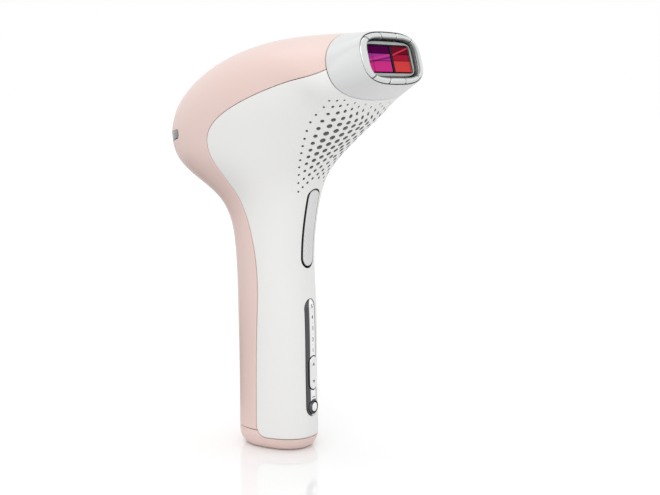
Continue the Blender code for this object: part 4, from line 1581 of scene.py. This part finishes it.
@dataclass
class Attachment:
    """The white attachment, the ring of contact pads and the filtered window."""

    maker: Maker
    skin: Skin
    window: WindowFrame
    mouth: tuple = (27.2, 12.0, 3.0)
    pad_outer: tuple = (26.9, 11.7, 3.0)
    pad_inner: tuple = (21.9, 8.9, 4.2)
    ledge: tuple = (20.0, 7.9, 5.0)
    pad_edges: tuple = (45, 74, 106, 135, 225, 254, 286, 315)
    pad_names: tuple = (
        "top_right", "top_middle", "top_left", "left", "bottom_left", "bottom_middle",
        "bottom_right", "right",
    )
    count: int = 144
    rib: tuple = ((1.8, 0, -1.75), (1.7, 11.9, 1.1))
    pane_edges: tuple = ((-18.1, 0.45), (3.15, 18.1))
    pane_size: tuple = (11.9, 1.0)
    pane_depth: float = 1.85

    def housing(self) -> None:
        """The tapering white body, its rear edge and front lip softly rolled."""
        angle = np.linspace(0, 2 * np.pi, self.count, endpoint=False)
        start = self.skin.seam_v + self.skin.gap / 2
        rear = ((0.0, -0.3), (0.1, -0.13), (0.26, -0.03), (0.5, 0.0))
        loops = [self.skin.at(start + offset, angle, lift) for offset, lift in rear]
        loops += [
            self.skin.at(v, angle) for v in np.linspace(start + 1.2, self.skin.rim_v - 0.4, 16)
        ]
        loops.append(self.skin.at(self.skin.rim_v - 0.12, angle, -0.06))
        for size, depth in (
            ((27.35, 12.15, 3.0), 0.03),
            (self.mouth, 0.16),
            (self.mouth, 3.4),
            (self.ledge, 3.4),
            (self.ledge, 5.0),
            ((26.0, 10.8, 3.0), 5.4),
        ):
            loops.append(self.window.outline(size, depth, self.count))
        loops += [self.skin.at(v, angle, -self.skin.wall) for v in (self.skin.seam_v + 6, start)]
        housing = self.maker.ring("attachment_body", np.array(loops), ATTACHMENT_WHITE, 45)
        # Painted shade on the mouth's inner walls and floor.
        mouth = len(rear) + 16 + 2
        self.maker.second_finish(
            housing, MOUTH_PAINTED_SHADE, lambda k: mouth <= k // self.count < mouth + 3
        )
        self.maker.place(housing, "attachment", "white_attachment", "attachment_housing")

    def pads(self) -> None:
        """Eight sprung pads, each with a rounded crest, a hair's breadth apart, their inner flanks
        darkened as a painted dark reflection.
        """
        profile = (
            (0.0, 2.3), (0.0, 0.35), (0.02, 0.1), (0.07, -0.22), (0.16, -0.52), (0.28, -0.74),
            (0.42, -0.87),
            (0.55, -0.9), (0.78, -0.9), (0.88, -0.84), (0.95, -0.7), (0.99, -0.48), (1.0, -0.2),
            (1.0, 2.3),
        )
        for k, name in enumerate(self.pad_names):
            first = self.pad_edges[k]
            last = self.pad_edges[(k + 1) % 8] + (360 if k == 7 else 0)
            clear = 1.15 if last - first < 60 else 0.9
            turns = np.linspace(first + clear, last - clear, 61 if last - first > 60 else 25)
            trims = np.zeros(len(turns))
            trims[[0, -1]] = 0.28
            trims[[1, -2]] = 0.06
            turns[1], turns[-2] = turns[0] + 0.35, turns[-1] - 0.35
            sections = []
            for turn, trim in zip(np.radians(90 - turns), trims):
                section = []
                for blend, depth in profile:
                    size = [
                        (1 - blend) * a + blend * b for a, b in zip(self.pad_outer, self.pad_inner)
                    ]
                    cosine, sine = superellipse(turn, size[2])
                    low = depth + trim if depth < 2 else depth
                    section.append((size[0] * sine, size[1] * cosine, -low))
                sections.append(section)
            pad = self.maker.stack(
                f"pad_{name}_face", self.window.points(np.array(sections)), SATIN_SILVER, 50
            )
            # Painted dark reflection on the inner flank faces.
            self.maker.second_finish(pad, SILVER_PAINTED_DARK_REFLECTION, lambda k: 8 <= k % len(profile) < 13)
            self.maker.place(pad, f"pad_{name}", "satin_pad", f"contact_pad_{name}")

    def inner_frame(self) -> None:
        """The grey frame inside the pads: a flat ledge that falls away in a cove towards them, with
        every face but the ledge near-black as painted shade.
        """
        sizes = (
            ((18.9, 6.5, 16.0), 1.2),
            ((19.0, 6.6, 14.0), 1.1),
            ((20.4, 7.65, 6.0), 1.1),
            ((20.7, 7.9, 5.2), 1.22),
            ((21.0, 8.15, 5.0), 1.6),
            ((21.4, 8.5, 4.5), 2.2),
            ((21.4, 8.5, 4.5), 3.1),
            ((19.6, 7.5, 5.0), 3.1),
            ((19.6, 7.5, 5.0), 5.2),
            ((17.4, 5.4, 16.0), 5.2),
            ((17.4, 5.4, 16.0), 3.1),
            ((18.9, 6.5, 16.0), 3.1),
        )
        loops = np.array([self.window.outline(size, depth, self.count) for size, depth in sizes])
        ring = self.maker.ring("window_surround", loops, FRAME_GREY, 40)
        self.maker.second_finish(ring, FRAME_COVE_PAINTED_SHADE, lambda k: k // self.count not in (1, 2))
        self.maker.place(ring, "attachment", "grey_frame", "window_frame")

    def block(self, name: str, centre: tuple, size: tuple, finish: Finish) -> Piece:
        """A flat block in the window's axes with softened edges.

        Args:
            name: the piece's name.
            centre: its middle, in the window's axes.
            size: its three sides.
            finish: what it is dressed in.

        Returns:
            The block.
        """
        half_x, half_y, half_z = (s / 2 for s in size)
        loops = []
        for inset, depth in (
            (0.12, -half_z), (0.0, -half_z + 0.12), (0.0, half_z - 0.12), (0.12, half_z)
        ):
            corners = [(-1, -1), (1, -1), (1, 1), (-1, 1)]
            loop = [
                (
                    centre[0] + x * (half_x - inset), centre[1] + y * (half_y - inset),
                    centre[2] + depth,
                )
                for x, y in corners
            ]
            loops.append(loop)
        return self.maker.stack(name, self.window.points(np.array(loops)), finish, 20)

    def panes(self) -> None:
        """The violet and the red filter panes with the black rib between them."""
        rib = self.block("filter_bar", *self.rib, RIB_BLACK)
        self.maker.place(rib, "attachment", "dark_rib", "filter_rib")
        for (low, high), side, tints in zip(self.pane_edges, Side, (VIOLET_TINT_AND_PAINTED_LIGHT, RED_TINT_AND_PAINTED_LIGHT)):
            name = side.name.lower()
            centre = ((low + high) / 2, 0, -self.pane_depth)
            pane = self.block(f"filter_{name}", centre, (high - low, *self.pane_size), SMOKED)
            pane.data.materials.clear()
            pane.data.materials.append(PaneGlass(self.window, tints).material())
            slot = "violet_glass" if side is Side.LEFT else "red_glass"
            self.maker.place(pane, "attachment", slot, f"filter_pane_{name}")

    def build(self) -> None:
        """Makes the attachment and what it carries."""
        self.housing()
        self.pads()
        self.inner_frame()
        self.panes()


@dataclass(frozen=True)
class PaneTints:
    """A filter pane's tint with painted light laid over it: bands of painted reflection that stand
    in for the lit box behind it, a painted highlight streak, and dark lines of painted shade.

    Heights are shares of the pane's height; places are millimetres from the window's centre.
    """

    name: str
    upper: Colour
    middle: Colour
    lower: Colour
    # The painted shade of the dark lines, of the streak's shadow and of the line near the edge.
    dark: Colour
    # The painted highlight of the slanting streak.
    ray: Colour
    lines: tuple[float, float]
    ray_from: tuple[float, float]
    ray_slope: float
    ray_half: float
    wall_at: float


# The violet and the red pane: bands of painted reflection, painted shade, painted highlight streak,
# and where the lines, the streak and the edge line stand.
VIOLET_TINT_AND_PAINTED_LIGHT = PaneTints(
    "violet_pane", (0.07, 0.002, 0.05), (0.36, 0.035, 0.25), (0.60, 0.033, 0.23),
    (0.018, 0.0, 0.04),
    (0.55, 0.045, 0.26), (0.43, 0.70), (-14.5, -0.1), 0.13, 0.6, -15.4,
)
RED_TINT_AND_PAINTED_LIGHT = PaneTints(
    "red_pane", (0.15, 0.006, 0.02), (0.34, 0.013, 0.035), (0.66, 0.055, 0.055), (0.09, 0.0, 0.012),
    (0.62, 0.045, 0.075), (0.44, 0.685), (3.2, 1.9), 0.235, 0.42, 17.2,
)


@dataclass
class PaneGlass:
    """Coated glass whose colour changes in steps down the pane: painted reflection of the lit box
    behind it, laid over the glass's tint.
    """

    window: WindowFrame
    tints: PaneTints
    height: float = 11.9

    def material(self) -> bpy.types.Material:
        """The pane's material: bands of painted reflection over the glass's tint, dark
        painted-shade lines between them, one slanting painted highlight streak with a painted
        shadow beside it, and a painted-shade line near the pane's outer edge.

        Returns:
            The material.
        """
        tints = self.tints
        made = bpy.data.materials.new(tints.name)
        made.use_nodes = True
        tree = made.node_tree
        shader = tree.nodes["Principled BSDF"]
        shader.inputs["Roughness"].default_value = 0.08
        shader.inputs["Specular IOR Level"].default_value = 0.0
        height = self._along(tree, self.window.up)
        lateral = self._along(tree, np.array((1.0, 0, 0)))
        bands = tree.nodes.new("ShaderNodeValToRGB")
        bands.color_ramp.interpolation = "LINEAR"
        first, second = tints.lines
        lower_top = tuple(0.9 * c for c in tints.lower)
        # Bands of painted reflection of the lit box behind, with dark painted-shade lines between
        # them.
        stops = (
            (0.0, tints.dark), (0.03, tints.lower), (first - 0.02, lower_top),
            (first - 0.005, tints.dark),
            (first + 0.02, tints.middle), (second - 0.02, tints.middle), (second, tints.dark),
            (second + 0.03, tints.upper),
            (0.96, tints.upper), (1.0, tints.dark),
        )
        while len(bands.color_ramp.elements) < len(stops):
            bands.color_ramp.elements.new(0.5)
        for element, (place, colour) in zip(bands.color_ramp.elements, stops):
            element.position = place
            element.color = (*colour, 1)
        tree.links.new(self._scaled(tree, height, 1 / (self.height * MM), 0.5), bands.inputs["Fac"])
        start_x, start_y = tints.ray_from
        line = self._scaled(
            tree, lateral, tints.ray_slope, (start_y - tints.ray_slope * start_x) * MM
        )
        # A painted shadow beside the streak.
        shadow = self._stripe(
            tree, height, self._scaled(tree, line, 1.0, -1.35 * tints.ray_half * MM),
            tints.ray_half, 0.5,
        )
        colour = self._blend(tree, shadow, bands.outputs["Color"], tints.dark)
        # The painted highlight streak.
        ray = self._stripe(tree, height, line, tints.ray_half, 0.92)
        colour = self._blend(tree, ray, colour, tints.ray)
        # A painted-shade line near the pane's outer edge.
        wall = self._stripe(
            tree, lateral, self._scaled(tree, lateral, 0.0, tints.wall_at * MM), 0.22, 0.75
        )
        colour = self._blend(tree, wall, colour, tints.dark)
        tree.links.new(colour, shader.inputs["Base Color"])
        made.diffuse_color = (*tints.lower, 1)
        return made

    def _along(self, tree: Tree, direction: np.ndarray) -> Socket:
        """Metres from the window's centre along a direction.

        Args:
            tree: the nodes that it joins.
            direction: a unit vector.

        Returns:
            The distance.
        """
        place = tree.nodes.new("ShaderNodeTexCoord")
        shift = tree.nodes.new("ShaderNodeVectorMath")
        shift.operation = "SUBTRACT"
        shift.inputs[1].default_value = Vector(self.window.centre * MM)
        tree.links.new(place.outputs["Object"], shift.inputs[0])
        dot = tree.nodes.new("ShaderNodeVectorMath")
        dot.operation = "DOT_PRODUCT"
        dot.inputs[1].default_value = Vector(direction)
        tree.links.new(shift.outputs[0], dot.inputs[0])
        return dot.outputs["Value"]

    @staticmethod
    def _scaled(tree: Tree, value: Socket, factor: float, offset: float) -> Socket:
        """The value times factor plus offset.

        Args:
            tree: the nodes that it joins.
            value: the value that comes in.
            factor: what it is multiplied by.
            offset: what is added.

        Returns:
            The result.
        """
        node = tree.nodes.new("ShaderNodeMath")
        node.operation = "MULTIPLY_ADD"
        tree.links.new(value, node.inputs[0])
        node.inputs[1].default_value = factor
        node.inputs[2].default_value = offset
        return node.outputs[0]

    @staticmethod
    def _blend(tree: Tree, mask: Socket, under: Socket, over: Colour) -> Socket:
        """The colour under with the colour over laid on it by the mask.

        Args:
            tree: the nodes that it joins.
            mask: where the upper colour shows.
            under: the lower colour.
            over: the upper colour.

        Returns:
            The mixed colour.
        """
        blend = tree.nodes.new("ShaderNodeMix")
        blend.data_type = "RGBA"
        tree.links.new(mask, blend.inputs[0])
        tree.links.new(under, blend.inputs[6])
        blend.inputs[7].default_value = (*over, 1)
        return blend.outputs[2]

    @staticmethod
    def _stripe(tree: Tree, value: Socket, middle: Socket, half: float, peak: float) -> Socket:
        """A mask that is strongest where value equals middle and fades over half millimetres.

        Args:
            tree: the material's nodes.
            value: the place, in metres.
            middle: the stripe's middle, in metres.
            half: half its width, in millimetres.
            peak: how strong it is.

        Returns:
            The mask.
        """
        apart = tree.nodes.new("ShaderNodeMath")
        apart.operation = "SUBTRACT"
        tree.links.new(value, apart.inputs[0])
        tree.links.new(middle, apart.inputs[1])
        distance = tree.nodes.new("ShaderNodeMath")
        distance.operation = "ABSOLUTE"
        tree.links.new(apart.outputs[0], distance.inputs[0])
        fall = tree.nodes.new("ShaderNodeMapRange")
        fall.inputs["From Min"].default_value = 0.6 * half * MM
        fall.inputs["From Max"].default_value = 1.2 * half * MM
        fall.inputs["To Min"].default_value = peak
        fall.inputs["To Max"].default_value = 0.0
        tree.links.new(distance.outputs[0], fall.inputs["Value"])
        return fall.outputs["Result"]


# ---- Works --------------------------------------------------------------------------------------


@dataclass
class Works:
    """The pieces kept from the CAD model, dressed in their own finishes with softened edges."""

    maker: Maker
    dress: dict[str, Finish] = field(
        default_factory=lambda: {
            "charging_socket": SOCKET_BLACK, "charging_pin": NICKEL,
            "ready_light_board": BOARD_GREEN,
            "flash_button_seal": SEAL_BLACK_AND_GAP_SHADE, "flash_button_pin": STEEL,
            "control_board": BOARD_GREEN,
            "up_switch": BLACK_PLASTIC, "down_switch": BLACK_PLASTIC, "power_switch": BLACK_PLASTIC,
            "flash_switch": BLACK_PLASTIC, "indicator_light_bar": LIGHT_GUIDE,
            "battery_cell_lower": CELL_BLUE, "battery_cell_upper": CELL_BLUE,
            "battery_cradle": GREY_PLASTIC,
            "flash_capacitor_left": CAN_NAVY, "flash_capacitor_right": CAN_NAVY,
            "capacitor_bracket": GREY_PLASTIC,
            "power_board": BOARD_GREEN, "charging_transformer": COPPER, "trigger_coil": COPPER,
            "optical_head": ATTACHMENT_WHITE, "head_frame": GREY_PLASTIC,
            "contact_block": BLACK_PLASTIC,
            "housing_screw_1": STEEL, "housing_screw_2": STEEL, "housing_screw_3": STEEL,
            "housing_screw_4": STEEL,
            "lamp_reflector": MIRROR, "flash_lamp": QUARTZ, "lamp_cap_left": STEEL,
            "lamp_cap_right": STEEL,
            "fan_housing": BLACK_PLASTIC, "fan_stator": BLACK_PLASTIC, "fan_rotor": GREY_PLASTIC,
        }
    )
    edge_width: float = 0.15

    def build(self) -> None:
        """Dresses every CAD node that still shows."""
        for name, finish in self.dress.items():
            node = frame["nodes"][name]
            node.data.materials.clear()
            node.data.materials.append(self.maker.shop.material(finish))
            edge = node.modifiers.new("Soft edges", "BEVEL")
            edge.width = self.edge_width * MM
            edge.segments = 2
            edge.limit_method = "ANGLE"
            edge.angle_limit = math.radians(40)
            edge.harden_normals = False
            log.info("%s dressed in %s", name, finish.name)


# ---- Studio -------------------------------------------------------------------------------------


@dataclass
class Studio:
    """A pale floor, soft lights and the camera."""

    azimuth: float = -58.0
    pitch: float = 82.7
    camera_at: tuple = (-0.4958, -0.3392, 0.173)
    lens: float = 68.73
    floor_half: float = 6.0
    air: float = 0.97
    bounce: float = 0.80
    # A dark patch in the floor that only light bouncing up to the part meets, unseen by the camera:
    # painted shade for the part's undersides.
    patch_at: tuple = (0.045, -0.25)
    patch_size: tuple = (0.17, 0.19)
    patch_edge: tuple = (0.75, 1.15)
    patch_shade: float = 0.04
    floor_shade: float = 0.96
    floor_roughness: float = 0.09
    floor_gloss: float = 0.6
    glow_edge: tuple = (0.30, 1.1)
    glow: float = 0.35
    aim: tuple = (0, 0, 0.12)
    lamp_side: float = 0.9
    lamps: tuple = (("key", (-1.0, -0.45, 0.9), 3.2), ("top", (0.1, 0.3, 1.2), 1.6))

    def floor(self) -> None:
        """A wide pale floor with a faint gloss. To the camera it glows more the farther it is from
        the part; to light that bounces up to the part it is a dull floor that throws only part of
        its light back, with a dark patch in front of the part: painted shade for the part's
        undersides.
        """
        paint = bpy.data.materials.new("pale_floor")
        paint.use_nodes = True
        tree = paint.node_tree
        gloss = tree.nodes["Principled BSDF"]
        gloss.inputs["Base Color"].default_value = (self.floor_shade,) * 3 + (1,)
        gloss.inputs["Roughness"].default_value = self.floor_roughness
        gloss.inputs["Specular IOR Level"].default_value = self.floor_gloss
        gloss.inputs["Emission Color"].default_value = (1, 1, 1, 1)
        far = self._spread(tree, (0.0, 0.0), (1.0, 1.0), self.glow_edge, (0.0, self.glow))
        tree.links.new(far, gloss.inputs["Emission Strength"])
        dull = tree.nodes.new("ShaderNodeBsdfDiffuse")
        tint = tree.nodes.new("ShaderNodeCombineColor")
        patch = self._spread(
            tree, self.patch_at, self.patch_size, self.patch_edge, (self.patch_shade, self.bounce)
        )
        for socket in tint.inputs[:3]:
            tree.links.new(patch, socket)
        tree.links.new(tint.outputs[0], dull.inputs["Color"])
        path = tree.nodes.new("ShaderNodeLightPath")
        blend = tree.nodes.new("ShaderNodeMixShader")
        tree.links.new(path.outputs["Is Camera Ray"], blend.inputs[0])
        tree.links.new(dull.outputs[0], blend.inputs[1])
        tree.links.new(gloss.outputs[0], blend.inputs[2])
        tree.links.new(blend.outputs[0], tree.nodes["Material Output"].inputs["Surface"])
        self.sheet("floor", (0, 0, 0), (0, 0, 1), (2 * self.floor_half, 2 * self.floor_half), paint)

    @staticmethod
    def _spread(tree: Tree, centre: tuple, size: tuple, near_far: tuple, values: tuple) -> Socket:
        """A number that changes with distance over the floor.

        Args:
            tree: the floor's nodes.
            centre: where the distance starts.
            size: metres for each unit of distance, on X and on Y.
            near_far: the distances between which the number changes.
            values: the number at each of them.

        Returns:
            The number.
        """
        place = tree.nodes.new("ShaderNodeTexCoord")
        turn = tree.nodes.new("ShaderNodeMapping")
        turn.inputs["Location"].default_value = (-centre[0] / size[0], -centre[1] / size[1], 0)
        turn.inputs["Scale"].default_value = (1 / size[0], 1 / size[1], 1)
        tree.links.new(place.outputs["Object"], turn.inputs["Vector"])
        length = tree.nodes.new("ShaderNodeVectorMath")
        length.operation = "LENGTH"
        tree.links.new(turn.outputs["Vector"], length.inputs[0])
        change = tree.nodes.new("ShaderNodeMapRange")
        change.interpolation_type = "SMOOTHSTEP"
        for label, value in zip(("From Min", "From Max", "To Min", "To Max"), (*near_far, *values)):
            change.inputs[label].default_value = value
        tree.links.new(length.outputs["Value"], change.inputs["Value"])
        return change.outputs["Result"]

    @staticmethod
    def sheet(
        name: str, centre: tuple, facing: tuple, size: tuple, paint: bpy.types.Material
    ) -> Piece:
        """A flat stage sheet.

        Args:
            name: its name.
            centre: its middle.
            facing: the direction that it faces.
            size: its width and height.
            paint: its material.

        Returns:
            The sheet.
        """
        half_x, half_y = size[0] / 2, size[1] / 2
        corners = [
            (-half_x, -half_y, 0), (half_x, -half_y, 0), (half_x, half_y, 0), (-half_x, half_y, 0)
        ]
        mesh = bpy.data.meshes.new(name)
        mesh.from_pydata(corners, [], [(0, 1, 2, 3)])
        mesh.materials.append(paint)
        obj = bpy.data.objects.new(name, mesh)
        obj.location = centre
        obj.rotation_euler = Vector(facing).to_track_quat("Z", "Y").to_euler()
        bpy.context.scene.collection.objects.link(obj)
        return obj

    def softbox(self, name: str, place: tuple, power: float) -> None:
        """A square area light that faces the middle of the object.

        Args:
            name: its name.
            place: where it stands.
            power: its power in watts.
        """
        lamp = bpy.data.lights.new(name, "AREA")
        lamp.shape = "SQUARE"
        lamp.size = self.lamp_side
        lamp.energy = power
        obj = bpy.data.objects.new(name, lamp)
        obj.location = place
        obj.rotation_euler = (Vector(self.aim) - Vector(place)).to_track_quat("-Z", "Y").to_euler()
        bpy.context.scene.collection.objects.link(obj)

    def world(self) -> None:
        """An even pale surround."""
        world = bpy.data.worlds.new("studio_air")
        world.use_nodes = True
        tree = world.node_tree
        shade = tree.nodes["Background"]
        shade.inputs["Color"].default_value = (1.0, 1.0, 1.0, 1)
        path = tree.nodes.new("ShaderNodeLightPath")
        level = tree.nodes.new("ShaderNodeMapRange")
        level.inputs["To Min"].default_value = self.air
        level.inputs["To Max"].default_value = 1.0
        tree.links.new(path.outputs["Is Camera Ray"], level.inputs["Value"])
        tree.links.new(level.outputs["Result"], shade.inputs["Strength"])
        bpy.context.scene.world = world

    def camera(self) -> None:
        """The camera, level with the window."""
        lens = bpy.data.cameras.new("camera")
        lens.lens = self.lens
        lens.sensor_width = 36.0
        lens.clip_start = 0.01
        lens.clip_end = 50.0
        eye = bpy.data.objects.new("camera", lens)
        eye.location = self.camera_at
        eye.rotation_euler = (math.radians(self.pitch), 0, math.radians(self.azimuth))
        bpy.context.scene.collection.objects.link(eye)
        bpy.context.scene.camera = eye

    def build(self) -> None:
        """Sets up the floor, the lights and the camera."""
        bpy.context.scene.view_settings.view_transform = "Standard"
        self.floor()
        self.world()
        for name, place, power in self.lamps:
            self.softbox(name, place, power)
        self.camera()


def main() -> None:
    """Builds the object's looks and the studio in order."""
    logging.basicConfig(level=logging.INFO, format="%(message)s")
    maker = Maker(FinishShop())
    skin = Skin()
    Shells(maker, skin).build()
    Controls(maker, skin).build()
    Attachment(maker, skin, WindowFrame.from_record()).build()
    Works(maker).build()
    Studio().build()


if __name__ == "__main__":
    main()
